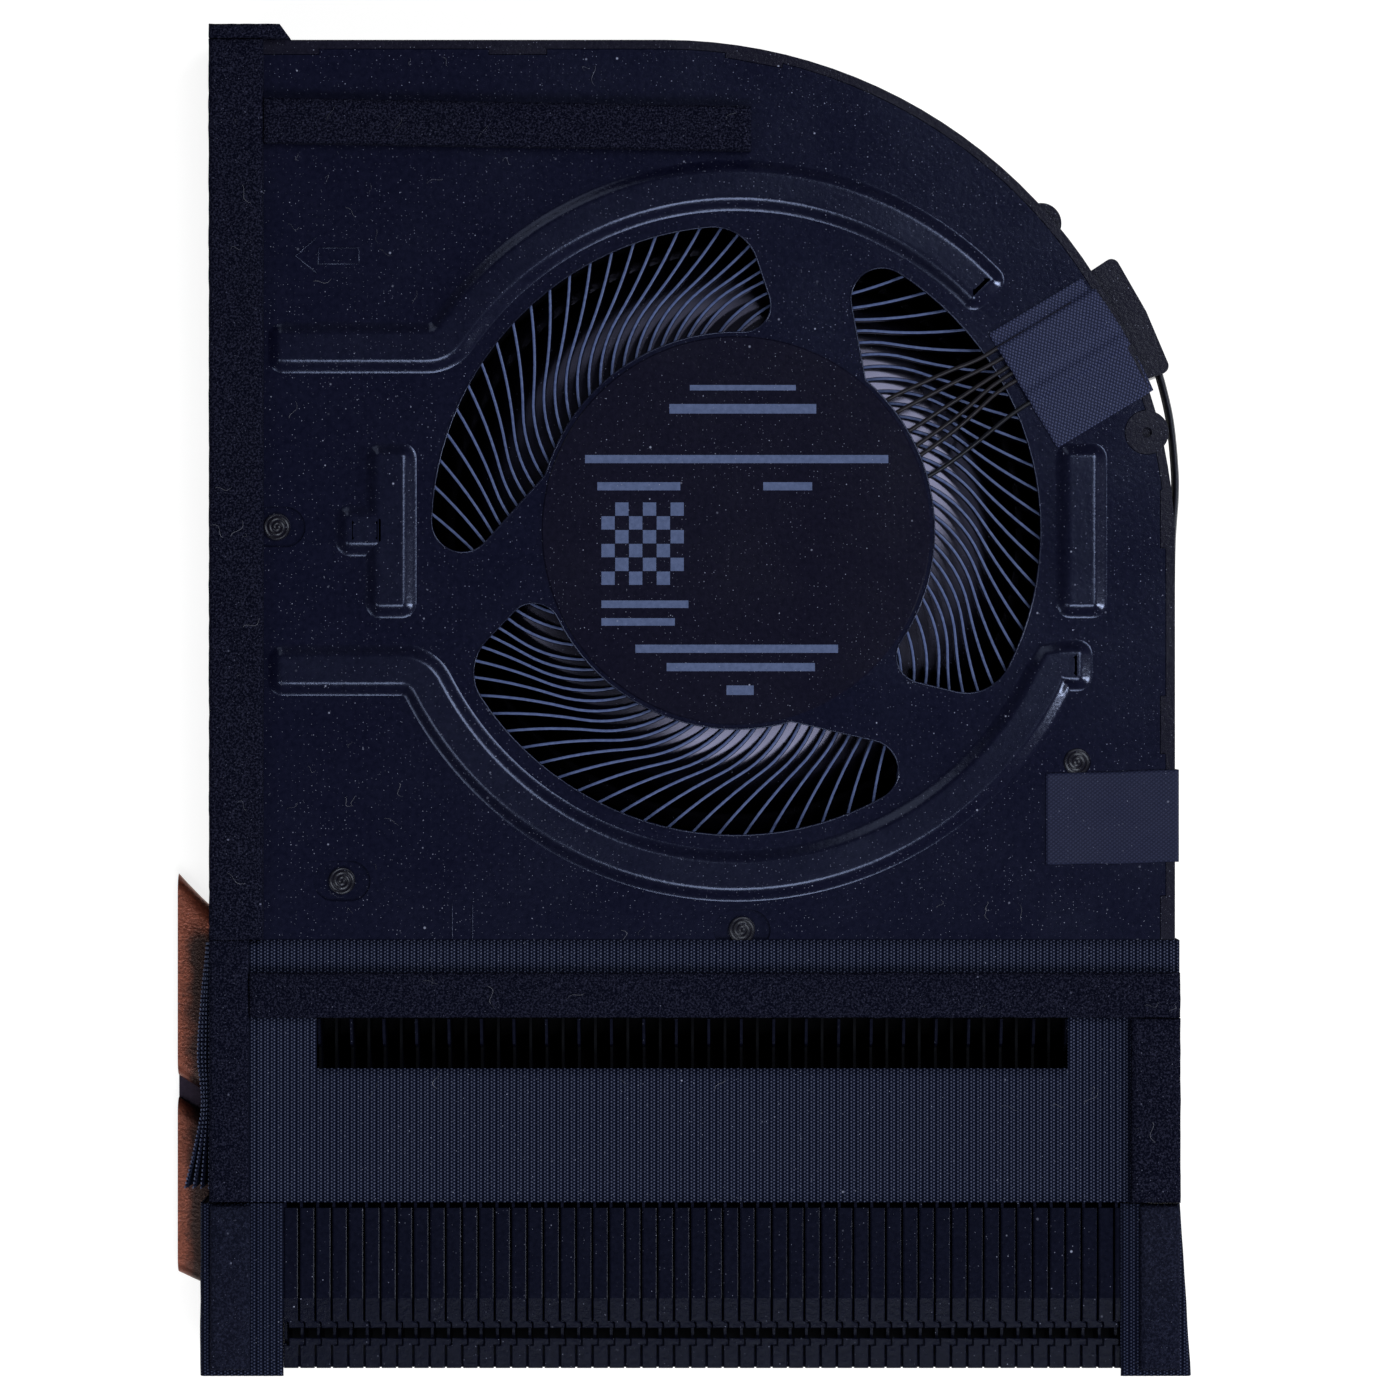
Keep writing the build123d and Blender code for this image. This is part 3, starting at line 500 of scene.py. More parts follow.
PAINT = Finish(
    "cover_paint", (0.0020, 0.0023, 0.0088), (0.0038, 0.0042, 0.0133), 0.19, swing=0.025, specular=0.34,
    dust=0.42, tint=(0.52, 0.64, 1.0),
)
RIB_PAINT = Finish(
    "rib_paint", (0.0020, 0.0023, 0.0088), (0.0038, 0.0042, 0.0133), 0.23, swing=0.03, specular=0.42,
    dust=0.42, tint=(0.52, 0.64, 1.0),
)
STAKE = Finish(
    "stake_plastic", (0.0024, 0.0023, 0.0048), (0.0046, 0.0043, 0.0080), 0.3, swing=0.04, specular=0.2,
    dust=0.2,
)
BASE_PAINT = Finish("base_paint", (0.004, 0.0045, 0.009), (0.007, 0.0075, 0.013), 0.45, dust=0.3)
PLASTIC = Finish(
    "frame_plastic", (0.0038, 0.0038, 0.0090), (0.0068, 0.0067, 0.0142), 0.26, swing=0.04, specular=0.14,
    grain_scale=4200.0, grain_depth=0.008, dust=0.3,
)
FILM = Finish(
    "label_film", (0.0029, 0.0029, 0.0085), (0.0046, 0.0045, 0.0120), 0.21, swing=0.03, specular=0.16,
    dust=0.35,
)
INK = Finish("label_ink", (0.040, 0.057, 0.122), (0.056, 0.077, 0.158), 0.5, specular=0.2, dust=0.15)
GLOSS = Finish(
    "impeller_gloss", (0.0012, 0.0012, 0.0030), (0.0020, 0.0020, 0.0048), 0.22, swing=0.05, specular=0.5,
    grain_scale=1500.0, grain_depth=0.001, dust=0.12, tint=(0.64, 0.66, 1.0),
)
# Painted highlight: a lighter blue-grey for the blade tops, standing in for light catching them.
BLADE_TOP_HIGHLIGHT = Finish(
    "blade_edges", (0.034, 0.050, 0.128), (0.058, 0.082, 0.182), 0.42, swing=0.1, specular=0.25,
    grain_scale=3200.0,
)
FOAM = Finish(
    "gasket_foam", (0.0009, 0.0012, 0.0048), (0.0165, 0.018, 0.0365), 0.9, specular=0.03,
    grain_scale=6800.0, grain_depth=0.05, grain_span=(0.45, 0.70), dust=0.35, dust_colour=(0.1, 0.11, 0.17),
)
PAD = Finish(
    "end_pad_foam", (0.0022, 0.0028, 0.0078), (0.0115, 0.0135, 0.029), 0.85, specular=0.05,
    grain_scale=6000.0, grain_depth=0.04, grain_span=(0.42, 0.70), dust=0.35, dust_colour=(0.1, 0.11, 0.17),
)
CLOTH = Finish(
    "duct_cloth", (0.0008, 0.0015, 0.0065), (0.0018, 0.0026, 0.0095), 0.75, specular=0.05,
    grain_scale=5200.0, pattern=Pattern.RIBBED, depth=0.07, thread=(0.062, 0.075, 0.135), dust=0.12,
)
WRAP = Finish(
    "end_wrap_cloth", (0.0008, 0.0014, 0.0056), (0.0018, 0.0024, 0.0085), 0.75, specular=0.05,
    grain_scale=5200.0, pattern=Pattern.RIBBED, depth=0.07, thread=(0.034, 0.043, 0.085), dust=0.12,
)
TAPE = Finish(
    "lead_tape_cloth", (0.0052, 0.0070, 0.021), (0.0095, 0.0118, 0.031), 0.62, specular=0.1,
    grain_scale=5200.0, pattern=Pattern.TWILL, pitch=(0.18, 0.1425), depth=0.03,
    thread=(0.038, 0.046, 0.102), dust=0.12,
)
SIDE_TAPE = Finish(
    "side_tape_cloth", (0.0050, 0.0063, 0.0195), (0.0076, 0.0092, 0.0258), 0.6, specular=0.1,
    grain_scale=5200.0, pattern=Pattern.TWILL, pitch=(0.18, 0.1425), depth=0.015,
    thread=(0.0143, 0.0172, 0.0420), dust=0.12,
)
FIN = Finish(
    "fin_metal", (0.0023, 0.0028, 0.0074), (0.0038, 0.0045, 0.0112), 0.22, swing=0.02, specular=0.025,
    grain_scale=3000.0, dust=0.15,
)
# Painted shade: a near-black finish for the fins' low faces, standing in for the shade low in the stack.
FIN_PAINTED_SHADE = Finish(
    "fin_depth", (0.0006, 0.0007, 0.0014), (0.0011, 0.0012, 0.0022), 0.6, specular=0.06, grain_scale=3000.0,
)
# Copper of the pipes; the dark band by the flap is a painted shadow.
COPPER = Finish(
    "pipe_copper", (0.068, 0.0175, 0.0125), (0.300, 0.0830, 0.0490), 0.4, swing=0.1, specular=0.5,
    metallic=0.4, tint=(1.0, 0.8, 0.7), grain_scale=4600.0, grain_depth=0.02, cloud_scale=260.0,
    pattern=Pattern.BRUSHED, pitch=(160.0, 1600.0), depth=0.004, thread=(0.20, 0.054, 0.034), dust=0.06,
    flap_shadow=(-41.5, -40.3, -30.6, -28.9),
)
# Painted shade: a dark purple for the strip between the pipes, standing in for the shade in that gap.
PIPE_GAP_SHADE = Finish("strip_rubber", (0.021, 0.0140, 0.027), (0.034, 0.0230, 0.042), 0.6, grain_scale=3600.0)
STITCH = Finish(
    "flap_stitch", (0.040, 0.050, 0.095), (0.080, 0.096, 0.165), 0.7, specular=0.1, grain_scale=3600.0,
)
BROWN_WIRE = Finish("brown_wire", (0.0036, 0.0029, 0.0045), (0.0085, 0.0062, 0.0085), 0.4, specular=0.3)
BLACK_WIRE = Finish("black_wire", (0.0018, 0.0018, 0.0032), (0.0034, 0.0034, 0.006), 0.4, specular=0.3)
CABLE = Finish("side_cable_coat", (0.003, 0.0034, 0.007), (0.0062, 0.0066, 0.012), 0.45, specular=0.25)
LINT = Finish("lint_fibre", (0.035, 0.04, 0.06), (0.17, 0.18, 0.22), 0.8, specular=0.1, grain_scale=900.0)
CUP = Finish("cup_steel", (0.42, 0.43, 0.45), (0.55, 0.56, 0.58), 0.35, specular=0.5, metallic=1.0)
MAGNET = Finish("magnet_ferrite", (0.028, 0.027, 0.028), (0.05, 0.048, 0.05), 0.6)
STEEL = Finish("shaft_steel", (0.55, 0.55, 0.57), (0.66, 0.66, 0.68), 0.2, specular=0.5, metallic=1.0)
BRASS = Finish("tube_brass", (0.52, 0.36, 0.13), (0.62, 0.44, 0.18), 0.32, specular=0.5, metallic=1.0)
BRONZE = Finish("bearing_bronze", (0.35, 0.21, 0.1), (0.46, 0.28, 0.14), 0.45, specular=0.5, metallic=1.0)
THRUST = Finish("thrust_plastic", (0.5, 0.48, 0.42), (0.6, 0.58, 0.52), 0.4, specular=0.4)
CORE = Finish("core_lamination", (0.2, 0.2, 0.21), (0.32, 0.32, 0.33), 0.45, specular=0.5, metallic=1.0)
COIL = Finish("coil_enamel", (0.3, 0.1, 0.03), (0.45, 0.17, 0.06), 0.35, specular=0.5, metallic=0.6)
BOARD = Finish("board_mask", (0.008, 0.03, 0.014), (0.014, 0.045, 0.022), 0.4, specular=0.4)
CHIP = Finish("chip_epoxy", (0.01, 0.01, 0.011), (0.018, 0.018, 0.019), 0.55, specular=0.3)


def dress(nodes: dict[str, bpy.types.Object], finishes: dict[str, Finish]) -> None:
    """Gives carried-over nodes their finishes.

    Args:
        nodes: The frame's nodes by name.
        finishes: Finish of each node.
    """
    for name, finish in finishes.items():
        for slot in nodes[name].material_slots:
            slot.material = finish.material()
        LOG.info("dressed %s with %s", name, finish.name)


def settle(piece: bpy.types.Object, body: Body, slot: str, *nodes: str) -> bpy.types.Object:
    """Hands a finished piece to the frame.

    Args:
        piece: The piece.
        body: Body that it rides on.
        slot: Material slot, not used.
        *nodes: Nodes that it stands for.

    Returns:
        The piece.
    """
    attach(piece, body.value)
    if nodes:
        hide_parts(*nodes)
    LOG.info("built %s with %d faces", piece.name, len(piece.data.polygons))
    return piece


def put(name: str, data: Any) -> bpy.types.Object:
    """Adds an object to the scene.

    Args:
        name: Name of the object.
        data: Its mesh, curve, lamp or camera.

    Returns:
        The object.
    """
    thing = bpy.data.objects.new(name, data)
    bpy.context.scene.collection.objects.link(thing)
    return thing


@dataclass
class Shell:
    """Points and faces of one mesh, with a map in millimetres for woven pieces."""

    centred: bool = True
    points: list[Point] = field(default_factory=list)
    marks: list[Spot] = field(default_factory=list)
    faces: list[tuple[int, ...]] = field(default_factory=list)

    def add(self, points: Sequence[Point], marks: Optional[Sequence[Spot]] = None) -> list[int]:
        """Adds points.

        Args:
            points: The points.
            marks: Their map spots, or None for their x and y.

        Returns:
            The numbers of the points.
        """
        first = len(self.points)
        self.points += points
        self.marks += marks or [(p[0], p[1]) for p in points]
        return list(range(first, len(self.points)))

    def face(self, numbers: Sequence[int]) -> None:
        """Adds one face."""
        self.faces.append(tuple(numbers))

    def grid(
        self,
        rows: Sequence[Sequence[Point]],
        marks: Optional[Sequence[Sequence[Spot]]] = None,
        ring: bool = False,
        keep: Optional[Callable[[float, float], bool]] = None,
    ) -> list[list[int]]:
        """Adds a sheet of four-sided faces.

        Args:
            rows: Rows of points of equal length.
            marks: Map spots of those points.
            ring: True where each row closes on itself.
            keep: Tells by a face's middle whether it stays.

        Returns:
            The numbers of the points, row by row.
        """
        ids = [self.add(row, marks[i] if marks else None) for i, row in enumerate(rows)]
        for low, high in zip(ids, ids[1:]):
            for i in range(len(low) if ring else len(low) - 1):
                j = (i + 1) % len(low)
                corners = (low[i], low[j], high[j], high[i])
                middle = [sum(self.points[c][k] for c in corners) / 4 for k in (0, 1)]
                if keep is None or keep(*middle):
                    self.face(corners)
        return ids

    def loft(self, rings: Sequence[Sequence[Point]], caps: bool = True) -> list[list[int]]:
        """Adds a skin through rings of equal length.

        Args:
            rings: The rings.
            caps: True where both ends are closed.

        Returns:
            The numbers of the points, ring by ring.
        """
        ids = self.grid(rings, ring=True)
        if caps:
            self.face(ids[0][::-1])
            self.face(ids[-1])
        return ids

    def piece(
        self, name: str, finish: Optional[Finish] = None, crease: float = CREASE, closed: bool = True
    ) -> bpy.types.Object:
        """Makes the mesh object.

        Args:
            name: Name of the piece.
            finish: Its finish.
            crease: Angle in degrees from which an edge stays sharp.
            closed: True where the normals can be worked out as outward.

        Returns:
            The object, at the origin.
        """
        mesh = bpy.data.meshes.new(name)
        mesh.from_pydata(framed(self.points, AXIS if self.centred else (0.0, 0.0)), [], self.faces)
        layer = mesh.uv_layers.new(name=MAP)
        for loop in mesh.loops:
            layer.data[loop.index].uv = self.marks[loop.vertex_index]
        if finish:
            mesh.materials.append(finish.material())
        if closed:
            work = bmesh.new()
            work.from_mesh(mesh)
            bmesh.ops.recalc_face_normals(work, faces=work.faces)
            work.to_mesh(mesh)
            work.free()
        mesh.polygons.foreach_set("use_smooth", [True] * len(mesh.polygons))
        mesh.set_sharp_from_angle(angle=math.radians(crease))
        return put(name, mesh)


def lofted(
    name: str, finish: Finish, rings: Sequence[Sequence[Point]], crease: float = CREASE, centred: bool = True
) -> bpy.types.Object:
    """A closed skin through rings as one piece.

    Args:
        name: Name of the piece.
        finish: Its finish.
        rings: Rings of equal length.
        crease: Angle in degrees from which an edge stays sharp.
        centred: True where the rings lie about the fan axis.

    Returns:
        The piece.
    """
    shell = Shell(centred)
    shell.loft(rings)
    return shell.piece(name, finish, crease)


def bake(thing: bpy.types.Object) -> bpy.types.Object:
    """Turns an object with modifiers, or a curve, into a plain mesh object.

    Args:
        thing: The object.

    Returns:
        The mesh object, of the same name.
    """
    graph = bpy.context.evaluated_depsgraph_get()
    shown = thing.evaluated_get(graph)
    mesh = bpy.data.meshes.new_from_object(shown, preserve_all_data_layers=True, depsgraph=graph)
    name = thing.name
    if thing.type == "MESH":
        thing.modifiers.clear()
        thing.data = mesh
        mesh.name = name
        return thing
    bpy.data.objects.remove(thing)
    return put(name, mesh)


def thicken(sheet: bpy.types.Object, thickness: float) -> bpy.types.Object:
    """Gives an open sheet its thickness.

    Args:
        sheet: The sheet.
        thickness: How far it reaches below its face.

    Returns:
        The sheet as a closed piece.
    """
    wall = sheet.modifiers.new("thickness", "SOLIDIFY")
    wall.thickness = thickness * MM
    wall.offset = -1.0
    wall.use_even_offset = False
    return bake(sheet)


def cloth(name: str, finish: Finish, shell: Shell, thickness: float) -> bpy.types.Object:
    """A lying sheet of cloth.

    Args:
        name: Name of the piece.
        finish: Its finish.
        shell: Its upper face.
        thickness: How far it reaches below that face.

    Returns:
        The piece.
    """
    sheet = shell.piece(name, finish, closed=False)
    if sum(face.normal.z * face.area for face in sheet.data.polygons) < 0:
        sheet.data.flip_normals()
    return thicken(sheet, thickness)


def inset(plan: Sequence[Spot], amount: float) -> list[Spot]:
    """A plan drawn in on all sides.

    Args:
        plan: Corners, counterclockwise.
        amount: How far each side moves in.

    Returns:
        The new corners.
    """
    drawn = []
    for i, (x, y) in enumerate(plan):
        sides = []
        for a, b in ((plan[i - 1], (x, y)), ((x, y), plan[(i + 1) % len(plan)])):
            size = math.dist(a, b)
            sides.append(((a[1] - b[1]) / size, (b[0] - a[0]) / size))
        (ax, ay), (bx, by) = sides
        reach = amount / (1 + ax * bx + ay * by)
        drawn.append((x + (ax + bx) * reach, y + (ay + by) * reach))
    return drawn


def thread(points: list[Point], edges: list[Edge], line: Sequence[Point], closed: bool = False) -> None:
    """Adds a line to a set of lines.

    Args:
        points: Points of the set.
        edges: Pairs of point numbers of the set.
        line: Points of the line.
        closed: True where its end joins its start.
    """
    first = len(points)
    points += line
    edges += [(i, i + 1) for i in range(first, len(points) - 1)]
    if closed:
        edges.append((len(points) - 1, first))


def wires(name: str, points: Sequence[Point], edges: Sequence[Edge] = ()) -> bpy.types.Mesh:
    """A mesh of loose points and lines.

    Args:
        name: Name of the mesh.
        points: Points about the fan axis.
        edges: Pairs of point numbers.

    Returns:
        The mesh.
    """
    mesh = bpy.data.meshes.new(name)
    mesh.from_pydata(framed(points), edges, [])
    return mesh


class Recipe:
    """A Geometry Nodes tree with named inputs that makes one plain mesh."""

    def __init__(self, name: str, inputs: dict[str, str]) -> None:
        """Starts the tree.

        Args:
            name: Name of the tree.
            inputs: Kind of each named input, the last part of its socket type.
        """
        self.tree = bpy.data.node_groups.new(name, "GeometryNodeTree")
        self.tree.interface.new_socket("Geometry", in_out="OUTPUT", socket_type="NodeSocketGeometry")
        for label, kind in {"Geometry": "Geometry", **inputs}.items():
            self.tree.interface.new_socket(label, in_out="INPUT", socket_type=f"NodeSocket{kind}")
        self.graph = Graph(self.tree)
        self.source = self.graph.add("NodeGroupInput")
        self.sink = self.graph.add("NodeGroupOutput")

    def __getitem__(self, label: str) -> Socket:
        """The socket of a named input."""
        return self.source.outputs[label]

    def shape(self, label: str) -> Socket:
        """The mesh of a named object input."""
        return self.graph.add("GeometryNodeObjectInfo", {"Object": self[label]}).outputs["Geometry"]

    def place(self, points: Socket, label: str, **inputs: Socket) -> Socket:
        """Instances of a named object input on points, turned or scaled by more inputs."""
        values = {"Points": points, "Instance": self.shape(label), **inputs}
        return self.graph.add("GeometryNodeInstanceOnPoints", values).outputs[0]

    def upward(self, kind: str) -> Socket:
        """The z part of the Position or the Normal."""
        vector = self.graph.add(f"GeometryNodeInput{kind}").outputs[0]
        return self.graph.add("ShaderNodeSeparateXYZ", {0: vector}).outputs[2]

    def end(self, geometry: Socket, material: str, selected: Optional[tuple[str, Socket]] = None) -> None:
        """Realizes the result and sets its materials.

        Args:
            geometry: Result with instances.
            material: Input that holds the material.
            selected: A second material input and the faces that take it.
        """
        plain = self.graph.add("GeometryNodeRealizeInstances", {"Geometry": geometry}).outputs[0]
        coat = {"Geometry": plain, "Material": self[material]}
        plain = self.graph.add("GeometryNodeSetMaterial", coat).outputs[0]
        if selected:
            coat = {"Geometry": plain, "Selection": selected[1], "Material": self[selected[0]]}
            plain = self.graph.add("GeometryNodeSetMaterial", coat).outputs[0]
        self.graph.feed(self.sink, {0: plain})

    def run(self, name: str, mesh: bpy.types.Mesh, values: dict[str, Any]) -> bpy.types.Object:
        """Runs the tree.

        Args:
            name: Name of the piece.
            mesh: Mesh that the tree starts from.
            values: Value of each named input.

        Returns:
            The piece as a plain mesh object.
        """
        thing = put(name, mesh)
        modifier = thing.modifiers.new("recipe", "NODES")
        modifier.node_group = self.tree
        for item in self.tree.interface.items_tree:
            if item.in_out == "INPUT" and item.name in values:
                modifier[item.identifier] = values[item.name]
        thing = bake(thing)
        for value in values.values():
            if isinstance(value, bpy.types.Object):
                bpy.data.objects.remove(value)
        return thing


@dataclass(frozen=True)
class Lamp:
    """A square soft box aimed at the object, with angles in degrees and power in watts."""

    name: str
    azimuth: float
    elevation: float
    distance_m: float
    size_m: float
    power: float

    def hang(self) -> None:
        """Adds the lamp to the scene."""
        data = bpy.data.lights.new(self.name, "AREA")
        data.shape = "SQUARE"
        data.size = self.size_m
        data.energy = self.power
        x, y = polar(self.distance_m * math.cos(math.radians(self.elevation)), self.azimuth)
        place = Vector((x, y, self.distance_m * math.sin(math.radians(self.elevation))))
        lamp = put(self.name, data)
        lamp.location = place
        lamp.rotation_euler = place.to_track_quat("Z", "Y").to_euler()


@dataclass
class Studio:
    """Floor, lamps, world and camera."""

    frame_width: float = 103.0
    aim: Point = (-2.65, -12.47, 8.0)
    camera_distance: float = 370.0
    clip_start_m: float = 0.01
    sensor: float = 36.0
    world_colour: Colour = (0.97, 0.98, 1.0)
    world_level: float = 0.05
    floor_size: float = 3000.0
    floor_level: float = 0.3
    floor_roughness: float = 0.9
    floor_glow: float = 0.82
    lamps: tuple[Lamp, ...] = (
        Lamp("right", 33.0, 58.0, 0.6, 0.28, 2.4),
        Lamp("front", 277.0, 58.0, 0.6, 0.24, 1.9),
        Lamp("left", 212.0, 45.0, 0.6, 0.2, 0.6),
        Lamp("low", 345.0, 17.0, 0.7, 0.16, 2.6),
        Lamp("back", 118.0, 20.0, 0.8, 0.3, 0.3),
    )

    def build(self) -> None:
        """Makes the whole stage."""
        bpy.context.scene.view_settings.view_transform = "Standard"
        self._camera()
        self._world()
        self._floor()
        for lamp in self.lamps:
            lamp.hang()

    def _camera(self) -> None:
        """Looks straight down at the middle of the photograph's frame."""
        data = bpy.data.cameras.new("photo_camera")
        data.sensor_width = self.sensor
        data.lens = self.sensor * self.camera_distance / self.frame_width
        data.clip_start = self.clip_start_m
        camera = put("photo_camera", data)
        x, y, z = self.aim
        camera.location = framed([(x, y, z + self.camera_distance)])[0]
        bpy.context.scene.camera = camera

    def _world(self) -> None:
        """Even pale light from all round."""
        world = bpy.data.worlds.new("studio")
        world.use_nodes = True
        shade = world.node_tree.nodes["Background"]
        values = {"Color": (*self.world_colour, 1.0), "Strength": self.world_level}
        Graph(world.node_tree).feed(shade, values)
        bpy.context.scene.world = world

    def _floor(self) -> None:
        """Pale floor that shows white and still takes a shadow."""
        half = self.floor_size / 2
        shell = Shell(centred=False)
        corners = [(-half, -half, 0.0), (half, -half, 0.0), (half, half, 0.0), (-half, half, 0.0)]
        shell.face(shell.add(corners))
        floor = shell.piece("floor", closed=False)
        material = bpy.data.materials.new("floor_paper")
        material.use_nodes = True
        graph = Graph(material.node_tree)
        rays = graph.add("ShaderNodeLightPath")
        seen = graph.math("MAXIMUM", rays.outputs["Is Camera Ray"], rays.outputs["Is Transmission Ray"])
        seen = graph.math("MAXIMUM", seen, rays.outputs["Is Glossy Ray"])
        graph.feed(graph.tree.nodes["Principled BSDF"], {
            "Base Color": (*(self.floor_level,) * 3, 1.0), "Roughness": self.floor_roughness,
            "Specular IOR Level": 0.0, "Emission Color": (1.0, 1.0, 1.0, 1.0),
            "Emission Strength": graph.math("MULTIPLY", seen, self.floor_glow),
        })
        floor.data.materials.append(material)


@dataclass
class Cover:
    """Pressed ribs, rolled window edges and melted stakes of the stamped cover."""

    top: float = 8.0
    rib_radius: float = 25.4
    rib_left: float = -34.1
    upper_bar: float = 13.46
    lower_bar: float = 10.26
    upper_end: float = 43.0
    lower_end: float = 337.0
    stub: float = 2.5
    bend: float = 2.2
    end_round: float = 0.75
    least_round: float = 0.12
    side_length: float = 12.2
    tee_end: float = -29.15
    half: float = 1.55
    rise: tuple[Spot, Spot] = ((2.0, 7.985), (0.85, 8.568))
    rise_runs: int = 12
    bar_runs: int = 6
    bend_runs: int = 12
    ring_runs: int = 64
    tee_runs: int = 4
    side_runs: int = 8
    corner_runs: int = 5
    plateau: Spot = (0.15, 0.3)
    rim: Spot = (14.3, 22.7)
    rim_slack: float = 0.02
    rim_fold: float = 1.2
    rim_bead: float = 0.07
    rim_sink: float = 0.03
    stakes: tuple[Spot, ...] = ((-33.77, 0.26), (-28.99, -25.79), (0.44, -29.39), (25.09, -17.03))
    head_foot: Spot = (0.98, 7.76)
    head_edge: Spot = (0.97, 8.02)
    head_step: float = 0.062
    head_rings: int = 15
    ridge_height: float = 0.025
    ridge_turn: float = 19.0
    marks: tuple[tuple[Spot, ...], ...] = (
        ((-30.85, 21.55), (-32.45, 20.2), (-30.85, 18.95)),
        ((-30.75, 20.8), (-27.75, 20.8), (-27.75, 19.6), (-30.75, 19.6)),
        ((-20.9, -27.6), (-20.9, -30.05)), ((-19.4, -27.6), (-19.4, -30.05)),
    )
    mark_bead: float = 0.07
    mark_sink: float = 0.015

    def build(self, nodes: dict[str, bpy.types.Object]) -> None:
        """Makes the pieces that lie on the cover.

        Args:
            nodes: The frame's nodes by name.
        """
        settle(self._ribs(), Body.HOUSING, "black_steel")
        settle(self._beads(nodes["fan_cover"]), Body.HOUSING, "black_steel")
        settle(self._marks(), Body.HOUSING, "black_steel")
        settle(self._stake_heads(), Body.HOUSING, "black_plastic")

    def _bar_and_ring(self, bar: float, end: float) -> list[Spot]:
        """A straight bar from the left that bends into the ring and follows it.

        Args:
            bar: Place of the bar.
            end: Angle in degrees at which the ring ends.

        Returns:
            The middle line.
        """
        radius, bend = self.rib_radius, self.bend
        middle = -math.sqrt((radius + bend) ** 2 - (bar + bend) ** 2)
        turn = math.degrees(math.atan2(bar + bend, middle))
        run = [(x, bar) for x in evenly(self.rib_left, middle, self.bar_runs)]
        corner = arc(bend, -90.0, turn - 180.0, self.bend_runs, (middle, bar + bend))
        return run[:-1] + corner[:-1] + arc(radius, turn, end, self.ring_runs)

    def _ribs(self) -> bpy.types.Object:
        """All pressed ribs as one piece.

        Returns:
            The piece.
        """
        upper = self._bar_and_ring(self.upper_bar, self.upper_end)
        lower = [(x, -y) for x, y in self._bar_and_ring(self.lower_bar, 360.0 - self.lower_end)]
        last = lower[-1]
        lower += [(last[0] + self.stub * i / 3, last[1]) for i in range(1, 4)]
        tee = [(x, 0.0) for x in evenly(self.tee_end, -self.rib_radius, self.tee_runs)]
        heights = evenly(-self.side_length / 2, self.side_length / 2, self.side_runs)
        left, right = ([(x, y) for y in heights] for x in (-self.rib_radius, self.rib_radius))
        (wide, low), (narrow, high) = self.rise
        shares = evenly(0.0, 1.0, self.rise_runs)
        levels = [(lerp(wide, narrow, share), lerp(low, high, smooth(share))) for share in shares]
        levels += [(narrow - step, high) for step in self.plateau]
        shell = Shell()
        for path in (upper, lower, tee, left, right):
            ids = shell.loft([self._outline(path, half, z) for half, z in levels], caps=False)
            for ring in (ids[0], ids[-1]):
                self._cap(shell, ring, len(path) - 2)
        return shell.piece("cover_ribs", RIB_PAINT, crease=60.0)

    def _outline(self, path: Sequence[Spot], half: float, z: float) -> list[Point]:
        """The rib's outline at one level.

        Args:
            path: Middle line of the rib.
            half: Half of its width there.
            z: Height of the level.

        Returns:
            Points once round the rib.
        """
        spread = half - self.half
        frames = headings(path)
        left = [(x - dy * half, y + dx * half) for x, y, dx, dy in frames[1:-1]]
        right = [(x + dy * half, y - dx * half) for x, y, dx, dy in frames[1:-1]]
        x, y, dx, dy = frames[-1]
        tip = self._rib_end((x + dx * spread, y + dy * spread), (dx, dy), half)
        x, y, dx, dy = frames[0]
        tail = self._rib_end((x - dx * spread, y - dy * spread), (-dx, -dy), half)
        return [(x, y, z) for x, y in left + tip + right[::-1] + tail]

    @staticmethod
    def _cap(shell: Shell, ring: Sequence[int], size: int) -> None:
        """Closes a rib's outline with a strip of faces and a face at each end.

        Args:
            shell: Shell of the rib.
            ring: Point numbers of the outline.
            size: How many of them lie on each long side.
        """
        turn = (len(ring) - 2 * size) // 2
        left, right = ring[:size], ring[size + turn:2 * size + turn][::-1]
        for i in range(size - 1):
            shell.face((left[i], left[i + 1], right[i + 1], right[i]))
        shell.face((left[-1], *ring[size:size + turn], right[-1]))
        shell.face((right[0], *ring[2 * size + turn:], left[0]))

    def _rib_end(self, end: Spot, way: Spot, half: float) -> list[Spot]:
        """The two round corners at a rib's end.

        Args:
            end: Middle of the end.
            way: Direction in which the rib ends.
            half: Half of the rib's width.

        Returns:
            Spots from the left side round to the right side.
        """
        turn = max(self.end_round + half - self.half, self.least_round)
        dx, dy = way
        spots = []
        for side, angles in ((1, (90.0, 0.0)), (-1, (0.0, -90.0))):
            push = side * (half - turn)
            x, y = end[0] - dy * push - dx * turn, end[1] + dx * push - dy * turn
            for angle in evenly(*angles, self.corner_runs):
                along, across = polar(turn, angle)
                spots.append((x + dx * along - dy * across, y + dy * along + dx * across))
        return spots

